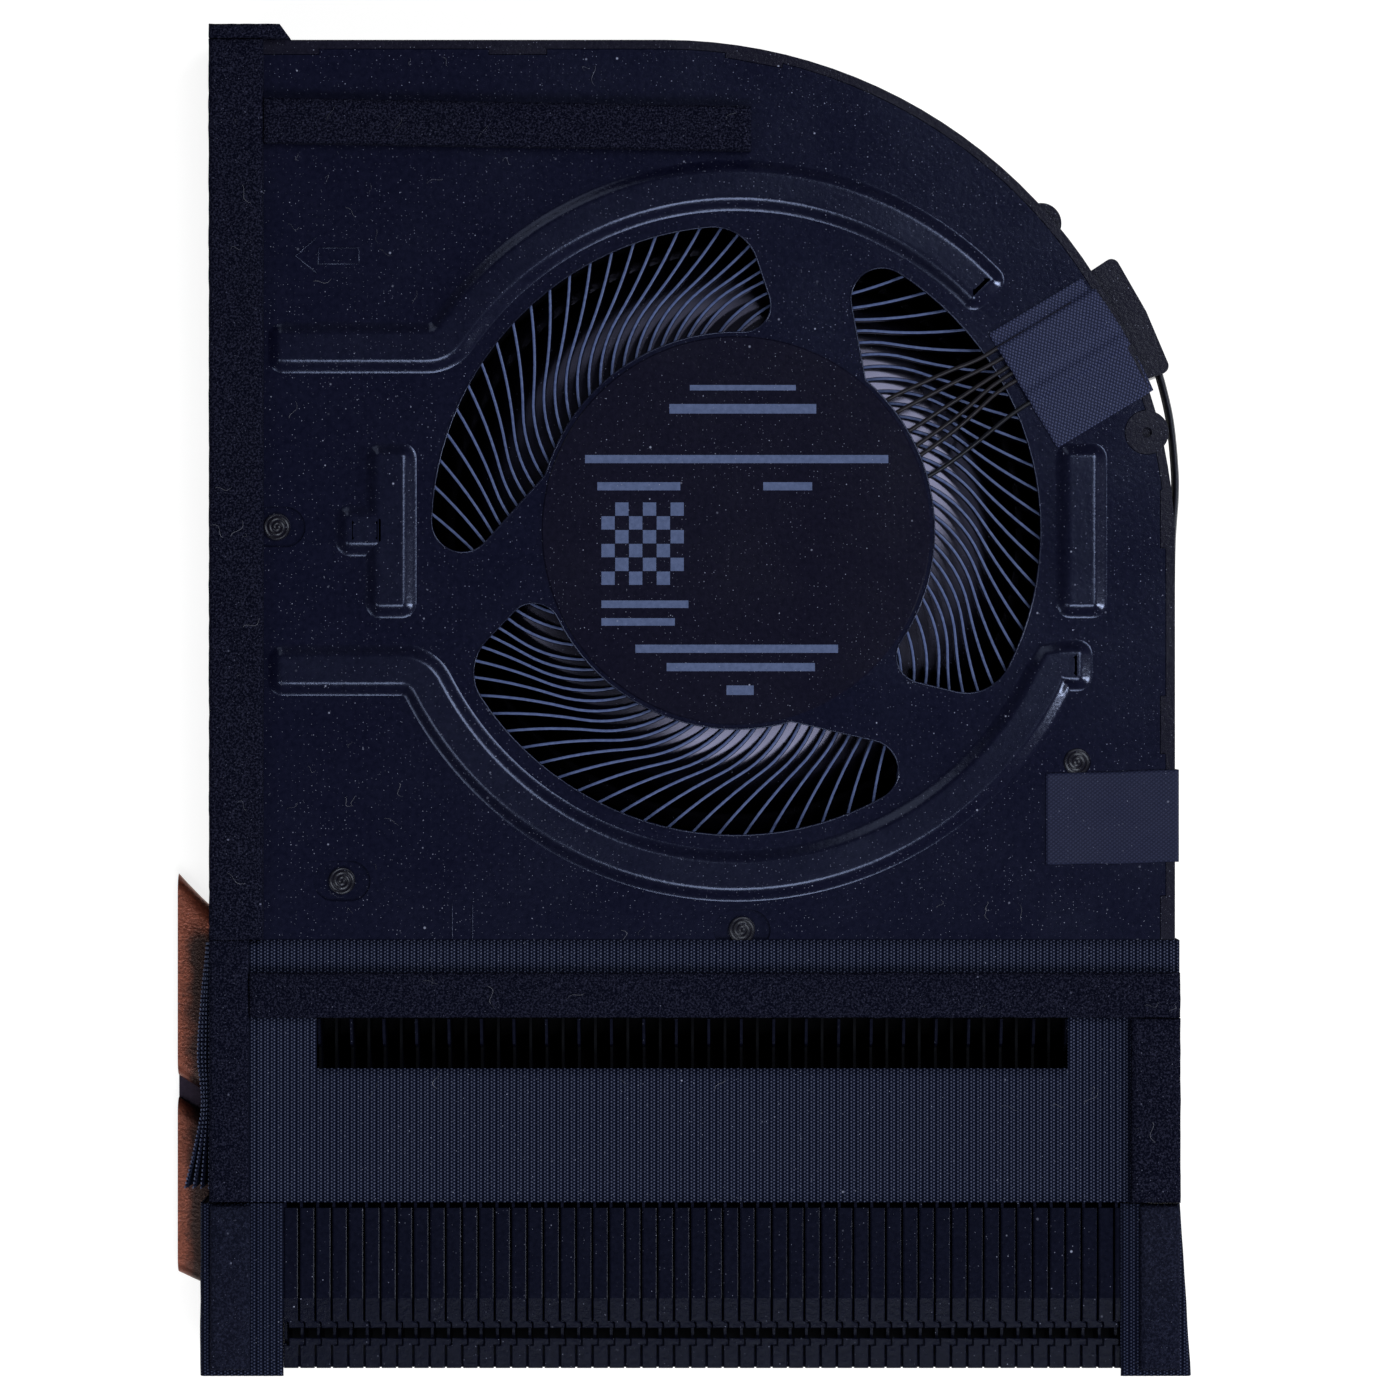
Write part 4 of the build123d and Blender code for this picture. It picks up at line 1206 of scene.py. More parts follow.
    def _beads(self, cover: bpy.types.Object) -> bpy.types.Object:
        """Thin rolled edges that follow the cover's windows.

        Args:
            cover: The cover's node.

        Returns:
            The piece.
        """
        work = bmesh.new()
        work.from_mesh(cover.data)
        bmesh.ops.remove_doubles(work, verts=work.verts, dist=1e-6)
        places: dict[int, int] = {}
        points: list[Point] = []
        edges: list[Edge] = []
        for edge in work.edges:
            spots = [(v.co.x / MM - AXIS[0], v.co.y / MM - AXIS[1], v.co.z / MM) for v in edge.verts]
            inside = all(self.rim[0] < math.hypot(x, y) < self.rim[1] for x, y, _ in spots)
            level = all(abs(z - self.top) < self.rim_slack for _, _, z in spots)
            if inside and level and len(edge.link_faces) == 2 and edge.calc_face_angle(0.0) > self.rim_fold:
                for v, (x, y, z) in zip(edge.verts, spots):
                    if v.index not in places:
                        places[v.index] = len(points)
                        points.append((x, y, z - self.rim_sink))
                edges.append(tuple(places[v.index] for v in edge.verts))
        work.free()
        return self._bead(wires("window_beads", points, edges), self.rim_bead)

    def _marks(self) -> bpy.types.Object:
        """Thin embossed lines: an arrow and two strokes, closed where a line has more than three spots.

        Returns:
            The piece.
        """
        points: list[Point] = []
        edges: list[Edge] = []
        for mark in self.marks:
            thread(points, edges, [(x, y, self.top - self.mark_sink) for x, y in mark], len(mark) > 3)
        return self._bead(wires("embossed_lines", points, edges), self.mark_bead)

    @staticmethod
    def _bead(lines: bpy.types.Mesh, radius: float) -> bpy.types.Object:
        """A thin round bead along lines.

        Args:
            lines: The lines, with the name of the piece.
            radius: Radius of the bead.

        Returns:
            The piece.
        """
        recipe = Recipe(lines.name, {"Radius": "Float", "Finish": "Material"})
        line = recipe.graph.add("GeometryNodeMeshToCurve", {"Mesh": recipe["Geometry"]})
        values = {"Resolution": 8, "Radius": recipe["Radius"]}
        ring = recipe.graph.add("GeometryNodeCurvePrimitiveCircle", values)
        tube = recipe.graph.add("GeometryNodeCurveToMesh", {
            "Curve": line.outputs[0], "Profile Curve": ring.outputs[0], "Fill Caps": True,
        })
        recipe.end(tube.outputs[0], "Finish")
        return recipe.run(lines.name, lines, {"Radius": radius * MM, "Finish": RIB_PAINT.material()})

    def _stake_heads(self) -> bpy.types.Object:
        """Melted stake heads, one swirl on each stake.

        Returns:
            The piece.
        """
        foot, low = self.head_foot
        edge, high = self.head_edge
        angles = range(0, 360, 12)
        rings = [[(*polar(foot, a), low) for a in angles]]
        for i in range(self.head_rings):
            radius = edge - self.head_step * i
            ridge, phase = self.ridge_height if i else 0.0, radius * self.ridge_turn
            waves = [ridge * math.sin(math.radians(a) + phase) for a in angles]
            rings.append([(*polar(radius, a), high + wave) for a, wave in zip(angles, waves)])
        recipe = Recipe("stakes", {"Head": "Object", "Finish": "Material"})
        recipe.end(recipe.place(recipe["Geometry"], "Head"), "Finish")
        return recipe.run("stake_heads", wires("stake_places", [(x, y, 0.0) for x, y in self.stakes]), {
            "Head": lofted("stake_swirl", STAKE, rings, centred=False), "Finish": STAKE.material(),
        })


@dataclass
class Label:
    """Round film on the hub with plain printed fields."""

    radius: float = 14.3
    low: float = 8.0
    high: float = 8.12
    edge: float = 0.1
    sides: int = 144
    print_low: float = 8.11
    print_high: float = 8.124
    bars: tuple[tuple[float, float, float, float], ...] = (
        (-11.1, 11.2, 4.95, 5.55), (-10.2, -4.1, 2.95, 3.55), (2.0, 5.6, 2.95, 3.55),
        (-9.9, -3.5, -5.7, -5.15), (-9.9, -4.5, -7.0, -6.45), (-7.4, 7.5, -9.0, -8.4),
        (-5.1, 5.8, -10.35, -9.75), (-0.7, 1.3, -12.1, -11.4), (-4.9, 5.9, 8.6, 9.3), (-3.4, 4.4, 10.3, 10.7),
    )
    checker: tuple[float, float, float, float] = (-9.9, -3.8, -4.0, 2.0)
    squares: int = 6
    square_share: float = 0.96

    def build(self) -> None:
        """Makes the film and its print."""
        inner = self.radius - self.edge
        levels = ((self.radius, self.low), (self.radius, self.high - self.edge), (inner, self.high))
        rings = [[(*polar(r, a * 360 / self.sides), z) for a in range(self.sides)] for r, z in levels]
        settle(lofted("label_disc", FILM, rings), Body.HOUSING, "label_film", "hub_label")
        ink = Shell()
        for left, right, low, high in (*self.bars, *self._squares()):
            plan = [(left, low), (right, low), (right, high), (left, high)]
            ink.loft([[(x, y, z) for x, y in plan] for z in (self.print_low, self.print_high)])
        settle(ink.piece("label_print", INK), Body.HOUSING, "label_film")

    def _squares(self) -> list[tuple[float, float, float, float]]:
        """The filled squares of the checker field.

        Returns:
            Left, right, low and high of each square.
        """
        left, right, low, _ = self.checker
        step = (right - left) / self.squares
        size = step * self.square_share
        corners = [
            (left + i * step, low + j * step)
            for i in range(self.squares) for j in range(self.squares) if (i + j) % 2 == 0
        ]
        return [(x, x + size, y, y + size) for x, y in corners]


@dataclass
class Impeller:
    """Hub with a falling skirt, floor disc and unevenly pitched blades."""

    bore: float = 11.74
    hub: float = 13.5
    hub_top: float = 6.5
    hub_sides: int = 160
    floor: float = 0.9
    skirt: tuple[Spot, ...] = (
        (14.0, 10.0), (15.0, 12.5), (16.0, 15.0), (17.0, 17.5), (18.0, 21.0), (18.7, 29.0), (19.3, 43.0),
        (19.8, 58.0), (20.2, 64.0), (20.7, 64.0),
    )
    skirt_high: float = 6.42
    disc_line: tuple[Spot, ...] = ((21.0, 1.55), (21.3, 1.5), (22.15, 1.5), (22.3, 1.35), (22.3, 0.9))
    sectors: int = 3
    per_sector: int = 26
    start: float = 75.0
    uneven: float = 0.164
    blade_half: float = 0.14
    blade_levels: tuple[Spot, ...] = ((1.0, 1.2), (1.0, 6.48), (0.68, 6.58), (0.4, 6.6))
    blade_end: float = 0.85
    edge_height: float = 6.52
    edge_facing: float = 0.65
    middle: Spot = (18.0, 11.4)
    lean: float = 60.2
    tip: Spot = (25.5, -6.5)
    root: Spot = (13.6, 28.5)
    blade_runs: int = 9

    def build(self) -> None:
        """Makes the impeller as one piece on the rotor."""
        recipe = Recipe("impeller_wheel", {
            "Hub": "Object", "Blade": "Object", "Sectors": "Int", "Blades per sector": "Int",
            "Start": "Float", "Unevenness": "Float", "Edge height": "Float", "Edge facing": "Float",
            "Axis": "Vector", "Finish": "Material", "Edge finish": "Material",
        })
        graph, per = recipe.graph, recipe["Blades per sector"]
        count = graph.math("MULTIPLY", recipe["Sectors"], per)
        line = graph.add("GeometryNodeMeshLine", {"Count": count, "Offset": (0.0, 0.0, 0.0)})
        number = graph.add("GeometryNodeInputIndex").outputs[0]
        sector = graph.math("FLOOR", graph.math("DIVIDE", graph.math("ADD", number, 0.01), per))
        share = graph.math("DIVIDE", graph.math("SUBTRACT", number, graph.math("MULTIPLY", sector, per)), per)
        even = graph.math("MULTIPLY", share, graph.math("SUBTRACT", 1.0, recipe["Unevenness"]))
        bent = graph.math("MULTIPLY", graph.math("MULTIPLY", share, share), recipe["Unevenness"])
        turn = graph.math("ADD", sector, graph.math("ADD", even, bent))
        angle = graph.math("DIVIDE", graph.math("MULTIPLY", turn, 2 * math.pi), recipe["Sectors"])
        spin = graph.add("ShaderNodeCombineXYZ", {2: graph.math("ADD", angle, recipe["Start"])})
        blades = recipe.place(line.outputs[0], "Blade", Rotation=spin.outputs[0])
        wheel = graph.add("GeometryNodeJoinGeometry")
        for part in (recipe.shape("Hub"), blades):
            graph.feed(wheel, {0: part})
        values = {"Geometry": wheel.outputs[0], "Translation": recipe["Axis"]}
        moved = graph.add("GeometryNodeTransform", values)
        # Blade faces that are high and face up take the lighter finish, which is a painted highlight.
        upper = graph.math("GREATER_THAN", recipe.upward("Position"), recipe["Edge height"])
        up = graph.math("GREATER_THAN", recipe.upward("Normal"), recipe["Edge facing"])
        recipe.end(moved.outputs[0], "Finish", ("Edge finish", graph.math("MULTIPLY", upper, up)))
        piece = recipe.run("impeller_wheel", bpy.data.meshes.new("empty"), {
            "Hub": self._hub(), "Blade": self._blade(), "Sectors": self.sectors,
            "Blades per sector": self.per_sector, "Start": math.radians(self.start),
            "Unevenness": self.uneven, "Edge height": self.edge_height * MM, "Edge facing": self.edge_facing,
            "Axis": framed([(0.0, 0.0, 0.0)])[0], "Finish": GLOSS.material(),
            "Edge finish": BLADE_TOP_HIGHLIGHT.material(),
        })
        settle(piece, Body.ROTOR, "gloss_black", "impeller")

    def _hub(self) -> bpy.types.Object:
        """Hub and disc turned about the axis.

        Returns:
            The shape, for a recipe.
        """
        line = [(self.bore, self.floor), (self.bore, self.hub_top), (self.hub, self.hub_top)]
        z = self.skirt_high
        for (before, steep), (radius, slope) in zip((self.skirt[0], *self.skirt), self.skirt):
            z -= (radius - before) * math.tan(math.radians((slope + steep) / 2))
            line.append((radius, z))
        line += self.disc_line
        turns = [i * 360 / self.hub_sides for i in range(self.hub_sides)]
        shell = Shell(centred=False)
        ids = shell.grid([[(*polar(r, turn), z) for r, z in line] for turn in turns], ring=True)
        first, last = ids[0], ids[-1]
        for i, number in enumerate(first):
            j = (i + 1) % len(first)
            shell.face((last[i], last[j], first[j], number))
        return shell.piece("hub_turned", GLOSS, crease=50.0)

    def _blade(self) -> bpy.types.Object:
        """One blade: two arcs that meet with one tangent.

        Returns:
            The shape, for a recipe.
        """
        middle, tip, root = polar(*self.middle), polar(*self.tip), polar(*self.root)
        heading = self.middle[1] - self.lean
        outer = self._tangent_arc(middle, heading, tip)
        inner = self._tangent_arc(middle, heading + 180.0, root)
        path = inner[::-1] + outer[1:]
        size = len(path)
        rings = []
        for half, z in self.blade_levels:
            left, right = [], []
            for i, (x, y, dx, dy) in enumerate(headings(path)):
                wide = self.blade_half * half * (self.blade_end if i in (0, size - 1) else 1.0)
                left.append((x - dy * wide, y + dx * wide, z))
                right.append((x + dy * wide, y - dx * wide, z))
            rings.append(left + right[::-1])
        shell = Shell(centred=False)
        ids = shell.grid(rings, ring=True)
        for ring in (ids[0], ids[-1]):
            for i in range(size - 1):
                shell.face((ring[i], ring[i + 1], ring[2 * size - 2 - i], ring[2 * size - 1 - i]))
        return shell.piece("blade_one", GLOSS, crease=50.0)

    def _tangent_arc(self, start: Spot, heading: float, end: Spot) -> list[Spot]:
        """An arc that leaves a spot in a given direction and ends at another spot.

        Args:
            start: First spot.
            heading: Direction there, in degrees.
            end: Last spot.

        Returns:
            Spots along the arc.
        """
        dx, dy = end[0] - start[0], end[1] - start[1]
        nx, ny = -math.sin(math.radians(heading)), math.cos(math.radians(heading))
        radius = (dx * dx + dy * dy) / (2 * (dx * nx + dy * ny))
        x, y = start[0] + nx * radius, start[1] + ny * radius
        first = math.atan2(start[1] - y, start[0] - x)
        sweep = math.remainder(math.atan2(end[1] - y, end[0] - x) - first, 2 * math.pi)
        angles = [first + sweep * i / self.blade_runs for i in range(self.blade_runs + 1)]
        size = abs(radius)
        return [(x + size * math.cos(angle), y + size * math.sin(angle)) for angle in angles]


@dataclass
class Wiring:
    """Motor leads, the tape over them, the side cable and its tape."""

    lead_angles: tuple[Spot, ...] = (
        (40.9, 34.6), (36.3, 32.8), (29.9, 31.2), (25.2, 29.8), (22.2, 28.4), (15.6, 23.7)
    )
    lead_line: tuple[Spot, ...] = (
        (12.65, 7.25), (14.0, 7.25), (15.6, 7.37), (17.6, 7.66), (19.6, 8.02), (21.8, 8.18)
    )
    lead_stops: tuple[float, ...] = (0.3, 0.65, 1.0)
    lead_radius: float = 0.16
    lead_sway: Point = (0.08, 0.4, 3.7)
    window: Spot = (14.6, 22.44)
    heading: float = 31.0
    run: float = 8.0
    tape_middle: Spot = (24.65, 12.40)
    tape_length: float = 8.28
    tape_width: float = 9.8
    tape_cells: tuple[int, int] = (70, 44)
    tape_base: float = 8.12
    tape_thickness: float = 0.1
    tape_ridge: float = 0.36
    ridge_slopes: tuple[Spot, Spot] = ((-1.3, 0.35), (3.55, 0.35))
    tape_sag: float = 0.13
    sag_slopes: tuple[Spot, Spot] = ((-0.5, 0.5), (0.3, 0.6))
    line_height: float = 0.02
    line_pitch: float = 0.34
    line_place: Spot = (-0.75, 0.6)
    tape_fold: float = 0.3
    fold_place: Spot = (0.93, 0.07)
    tape_bow: float = 0.3
    face_noise: Point = (0.02, 0.7, 0.0)
    edge_noise: Point = (0.06, 2.0, 5.0)
    cable_path: tuple[Spot, ...] = (
        (31.2, 12.2), (31.75, 10.2), (32.2, 8.0), (32.5, 5.0), (32.55, 2.7), (32.3, -1.5), (32.25, -10.0),
        (32.25, -22.0), (32.25, -34.0),
    )
    cable_low: float = 4.0
    cable_high: float = 6.4
    cable_half: float = 0.25
    cable_sides: int = 24
    cable_round: Spot = (0.5, 0.7)
    cable_groove: float = 0.14
    cable_cores: float = 12.0
    side_box: tuple[float, float, float, float] = (22.8, 32.6, -24.6, -17.85)
    side_low: float = 3.5
    side_bend: float = 0.25
    side_noise: Spot = (0.018, 0.8)
    side_skew: Spot = (0.1, 0.02)
    skew_noise: Point = (0.3, 0.2, 9.0)
    side_runs: tuple[int, int, int, int] = (40, 5, 14, 30)

    def build(self) -> None:
        """Makes the wires, the cable and the tapes."""
        settle(self._leads(), Body.HOUSING, "wire_coat", "motor_leads")
        settle(self._cable(), Body.HOUSING, "wire_coat", "side_cable")
        tape = settle(self._lead_tape(), Body.HOUSING, "cloth_tape", "lead_tape")
        side = settle(self._side_tape(), Body.HOUSING, "cloth_tape", "side_tape")

    def _leads(self) -> bpy.types.Object:
        """Six thin wires as smooth tubes.

        Returns:
            The piece.
        """
        curve = bpy.data.curves.new("leads", "CURVE")
        curve.dimensions = "3D"
        curve.bevel_depth = self.lead_radius * MM
        curve.bevel_resolution = 2
        curve.use_fill_caps = True
        for finish in (BROWN_WIRE, BLACK_WIRE):
            curve.materials.append(finish.material())
        inner, outer = self.window
        height, frequency, layer = self.lead_sway
        for number, (hub_angle, rim_angle) in enumerate(self.lead_angles):
            slope = (rim_angle - hub_angle) / (outer - inner)
            points = [(*polar(r, hub_angle + slope * (r - inner)), z) for r, z in self.lead_line]
            x, y, z = points[-1]
            dx, dy = polar(self.run, self.heading)
            points += [(x + dx * t, y + dy * t, z) for t in self.lead_stops]
            run = curve.splines.new("NURBS")
            run.points.add(len(points) - 1)
            for point, (x, y, z) in zip(run.points, points):
                sway = wobble((height, frequency, number * layer), x, y)
                point.co = (*framed([(x + sway, y - sway, z)])[0], 1.0)
            run.order_u = 3
            run.use_endpoint_u = True
            run.resolution_u = 6
            run.material_index = 1 if number == len(self.lead_angles) - 1 else 0
        return bake(put("motor_wires", curve))

    def _tape_height(self, u: float, v: float, far: float) -> float:
        """Height of the lead tape at one place.

        Args:
            u: Place across the leads.
            v: Place along the leads.
            far: Share of the tape's length there.

        Returns:
            The height of its upper face.
        """
        raised = (self.tape_ridge - self.tape_sag * swell(u, *self.sag_slopes)) * swell(u, *self.ridge_slopes)
        middle, reach = self.line_place
        wave = self.line_height * math.cos(u * 2 * math.pi / self.line_pitch)
        lines = wave * (1 - min(abs(u - middle) / reach, 1.0))
        start, length = self.fold_place
        fold = self.tape_fold * smooth((far - start) / length)
        return self.tape_base + raised + lines + wobble(self.face_noise, u, v) - fold

    def _lead_tape(self) -> bpy.types.Object:
        """Woven tape that lies over the wires and shows their ridges.

        Returns:
            The piece.
        """
        along, across = polar(1.0, self.heading), polar(1.0, self.heading + 90.0)
        columns, rows = self.tape_cells
        us = evenly(-self.tape_width / 2, self.tape_width / 2, columns)
        vs = evenly(-self.tape_length / 2, self.tape_length / 2, rows)
        grid = []
        for v in vs:
            far = (v + self.tape_length / 2) / self.tape_length
            line = []
            for u in us:
                bow = self.tape_bow * far * (1 - (2 * u / self.tape_width) ** 2)
                reach = v + wobble(self.edge_noise, u, v) + bow
                x = self.tape_middle[0] + along[0] * reach + across[0] * u
                y = self.tape_middle[1] + along[1] * reach + across[1] * u
                line.append((x, y, self._tape_height(u, v, far)))
            grid.append(line)
        shell = Shell()
        shell.grid(grid, [[(u, v) for u in us] for v in vs])
        return cloth("lead_tape_cloth", TAPE, shell, self.tape_thickness)

    def _side_tape(self) -> bpy.types.Object:
        """Woven tape that folds down over the side cable.

        Returns:
            The piece.
        """
        left, right, low, high = self.side_box
        bend, top = self.side_bend, self.tape_base
        flat_runs, bend_runs, fall_runs, rows = self.side_runs
        profile = [(x, top) for x in evenly(left, right - bend, flat_runs)]
        profile += [(right - bend + x, top - bend + y) for x, y in arc(bend, 75.0, 0.0, bend_runs)]
        profile += [(right, z) for z in evenly(top - bend, self.side_low, fall_runs)[1:]]
        ys = evenly(low, high, rows)
        uneven, slant = self.side_skew
        across, along, layer = self.skew_noise
        grid = []
        for y in ys:
            line = []
            for x, z in profile:
                wave = wobble((*self.side_noise, z), x, y)
                skew = uneven * ripple(x * across, y * along, layer) + slant * (x - left)
                line.append((x, y + skew, z + max(wave, 0.0)))
            grid.append(line)
        shell = Shell()
        shell.grid(grid, [[(run, y) for run in travel(profile)] for y in ys])
        return cloth("side_tape_cloth", SIDE_TAPE, shell, self.tape_thickness)

    def _cable(self) -> bpy.types.Object:
        """Flat cable that runs down the right wall.

        Returns:
            The piece.
        """
        across, upright = self.cable_round
        section = []
        for k in range(self.cable_sides):
            wave, lift = polar(1.0, k * 360 / self.cable_sides)
            groove = 1 - self.cable_groove + self.cable_groove * math.cos(lift * self.cable_cores)
            half = math.copysign(abs(wave) ** across, wave) * self.cable_half * groove
            share = 0.5 + 0.5 * math.copysign(abs(lift) ** upright, lift)
            section.append((half, lerp(self.cable_low, self.cable_high, share)))
        rings = [
            [(x - dy * half, y + dx * half, z) for half, z in section]
            for x, y, dx, dy in headings(spline(self.cable_path))
        ]
        return lofted("side_cable_flat", CABLE, rings, crease=70.0)


@dataclass
class FinStack:
    """Folded fins that lock into each other."""

    left: float = -33.3
    pitch: float = 1.2
    count: int = 52
    flange: float = 1.05
    plate: float = 0.2
    back: float = -36.0
    front: float = -61.7
    low: float = 2.05
    high: float = 7.9
    slope_from: float = -56.5
    slope_drop: float = 0.45
    bare_to: float = -39.75
    bare_high: float = 5.2
    dark_below: float = 5.3
    shown_from: float = -49.85
    shown_gap: float = 0.9
    tick: Spot = (-37.9, 6.9)
    tick_fall: Spot = (0.3, 0.8)
    foot_back: float = -35.4
    sunk: float = 0.1
    notch: Spot = (-59.9, -58.3)
    notch_cut: Spot = (0.05, 0.6)
    lip_y: Spot = (-60.8, -61.67)
    lip_z: Spot = (6.75, 7.0)
    fold: tuple[Spot, ...] = ((0.0, 0.3), (0.0, 0.14), (0.04, 0.05), (0.12, 0.0))
    free_edge: tuple[Spot, ...] = ((0.06, 0.0), (0.0, 0.05))
    lock_ease: float = 0.05
    upper_lock: tuple[Spot, ...] = (
        (0.0, -56.5), (0.0, -58.12), (0.36, -58.3), (0.38, -58.72), (1.5, -58.68), (1.47, -58.36),
        (1.05, -58.16), (1.05, -56.5),
    )
    lower_lock: tuple[Spot, ...] = (
        (0.0, -61.7), (1.05, -61.7), (1.05, -59.98), (1.5, -59.93), (1.5, -59.5), (0.38, -59.44),
        (0.38, -60.0), (0.0, -60.03),
    )

    def build(self) -> None:
        """Makes the stack from pairs of fins."""
        recipe = Recipe("fin_row", {
            "Fins": "Object", "Pairs": "Int", "Pitch": "Float", "Depth": "Float", "Finish": "Material",
            "Depth finish": "Material",
        })
        graph = recipe.graph
        step = graph.add("ShaderNodeCombineXYZ", {0: recipe["Pitch"]})
        line = graph.add("GeometryNodeMeshLine", {"Count": recipe["Pairs"], "Offset": step.outputs[0]})
        # Faces below the given height take the near-black finish, which is painted shade.
        painted_shade_faces = graph.math("LESS_THAN", recipe.upward("Position"), recipe["Depth"])
        recipe.end(recipe.place(line.outputs[0], "Fins"), "Finish", ("Depth finish", painted_shade_faces))
        shell = Shell()
        for number in range(2):
            self._fin(shell, self.left + number * self.pitch, number == 0)
        piece = recipe.run("fin_row", bpy.data.meshes.new("empty"), {
            "Fins": shell.piece("fin_pair", FIN, crease=30.0), "Pairs": self.count // 2,
            "Pitch": 2 * self.pitch * MM, "Depth": self.dark_below * MM, "Finish": FIN.material(),
            "Depth finish": FIN_PAINTED_SHADE.material(),
        })
        settle(piece, Body.HOUSING, "fin_metal", "fin_stack")

    def _top(self, y: float) -> float:
        """Height of the fins at one place."""
        share = (self.slope_from - y) / (self.slope_from - self.front)
        return self.high - self.slope_drop * min(max(share, 0.0), 1.0)

    def _fin(self, shell: Shell, x: float, ticked: bool) -> None:
        """Adds one fin.

        Args:
            shell: Shell to add to.
            x: Left side of its plate.
            ticked: True where its plate stands higher below the slot.
        """
        tick, tall = self.tick if ticked else (self.tick[0], self.bare_high)
        run, fall = self.tick_fall
        outline = [
            (self.back, self.low), (self.back, tall), (tick, tall - fall if ticked else tall),
            (tick - run, self.bare_high), (self.bare_to, self.bare_high),
        ]
        (near, far), (ease, cut) = self.notch, self.notch_cut
        for y, drop in (
            (self.bare_to, self.sunk), (self.slope_from, self.sunk), (far, self.sunk), (far - ease, cut),
            (near + ease, cut), (near, self.sunk), (self.front, self.sunk),
        ):
            outline.append((y, self._top(y) - drop))
        outline.append((self.front, self.low))
        shell.loft([[(x + dx, y, z) for y, z in outline] for dx in (0.0, self.plate)])
        self._strip(shell, x, (self.foot_back, self.front), (self.low, self.low + self.plate))
        self._strip(shell, x, self.lip_y, self.lip_z)
        self._flange(shell, x, self.bare_to, self.shown_from + self.shown_gap)
        self._flange(shell, x, self.shown_from, self.slope_from)
        for plan in (self.upper_lock, self.lower_lock):
            self._lock(shell, x, plan)

    def _strip(self, shell: Shell, left: float, ends: Spot, levels: Spot) -> None:
        """Adds a flat strip that reaches to the next fin.

        Args:
            shell: Shell to add to.
            left: Left side of the fin's plate.
            ends: Places of the strip's back and front.
            levels: Its underside and top.
        """
        right, (low, high) = left + self.pitch, levels
        section = [(left, low), (right, low), (right, high), (left, high)]
        shell.loft([[(x, y, z) for x, z in section] for y in ends])

    def _flange(self, shell: Shell, left: float, back: float, front: float) -> None:
        """Adds one bent-over strip with a rounded fold.

        Args:
            shell: Shell to add to.
            left: Left side of the fin's plate.
            back: Place of the strip's back end.
            front: Place of its front end.
        """
        right, inner, top = left + self.flange, left + self.plate, self.high
        section = [(left + x, top - drop) for x, drop in self.fold]
        section += [(right - x, top - drop) for x, drop in self.free_edge]
        section += [(right, top - self.plate), (inner, top - self.plate), (inner, top - self.fold[0][1])]
        shell.loft([[(x, y, z) for x, z in section] for y in (back, front)])

    def _lock(self, shell: Shell, left: float, plan: Sequence[Spot]) -> None:
        """Adds one end of the bent-over strip that hooks into the next fin, with eased edges.

        Args:
            shell: Shell to add to.
            left: Left side of the fin's plate.
            plan: Corners of the lock, counted from there.
        """
        joint = self.slope_from
        eased = inset(plan, self.lock_ease)
        drawn = [(x, joint if place == joint else y) for (x, y), (_, place) in zip(eased, plan)]
        levels = ((plan, self.plate), (plan, self.lock_ease), (drawn, 0.0))
        shell.loft([[(left + x, y, self._top(y) - drop) for x, y in spots] for spots, drop in levels])


@dataclass(frozen=True)
class Wrap:
    """A cloth-wrapped end of the fins.

    The fins lie towards +x where side is 1. The free side draws in by slant towards the blower.
    """

    name: str
    node: str
    outer: float
    inner: float
    side: int
    slant: float


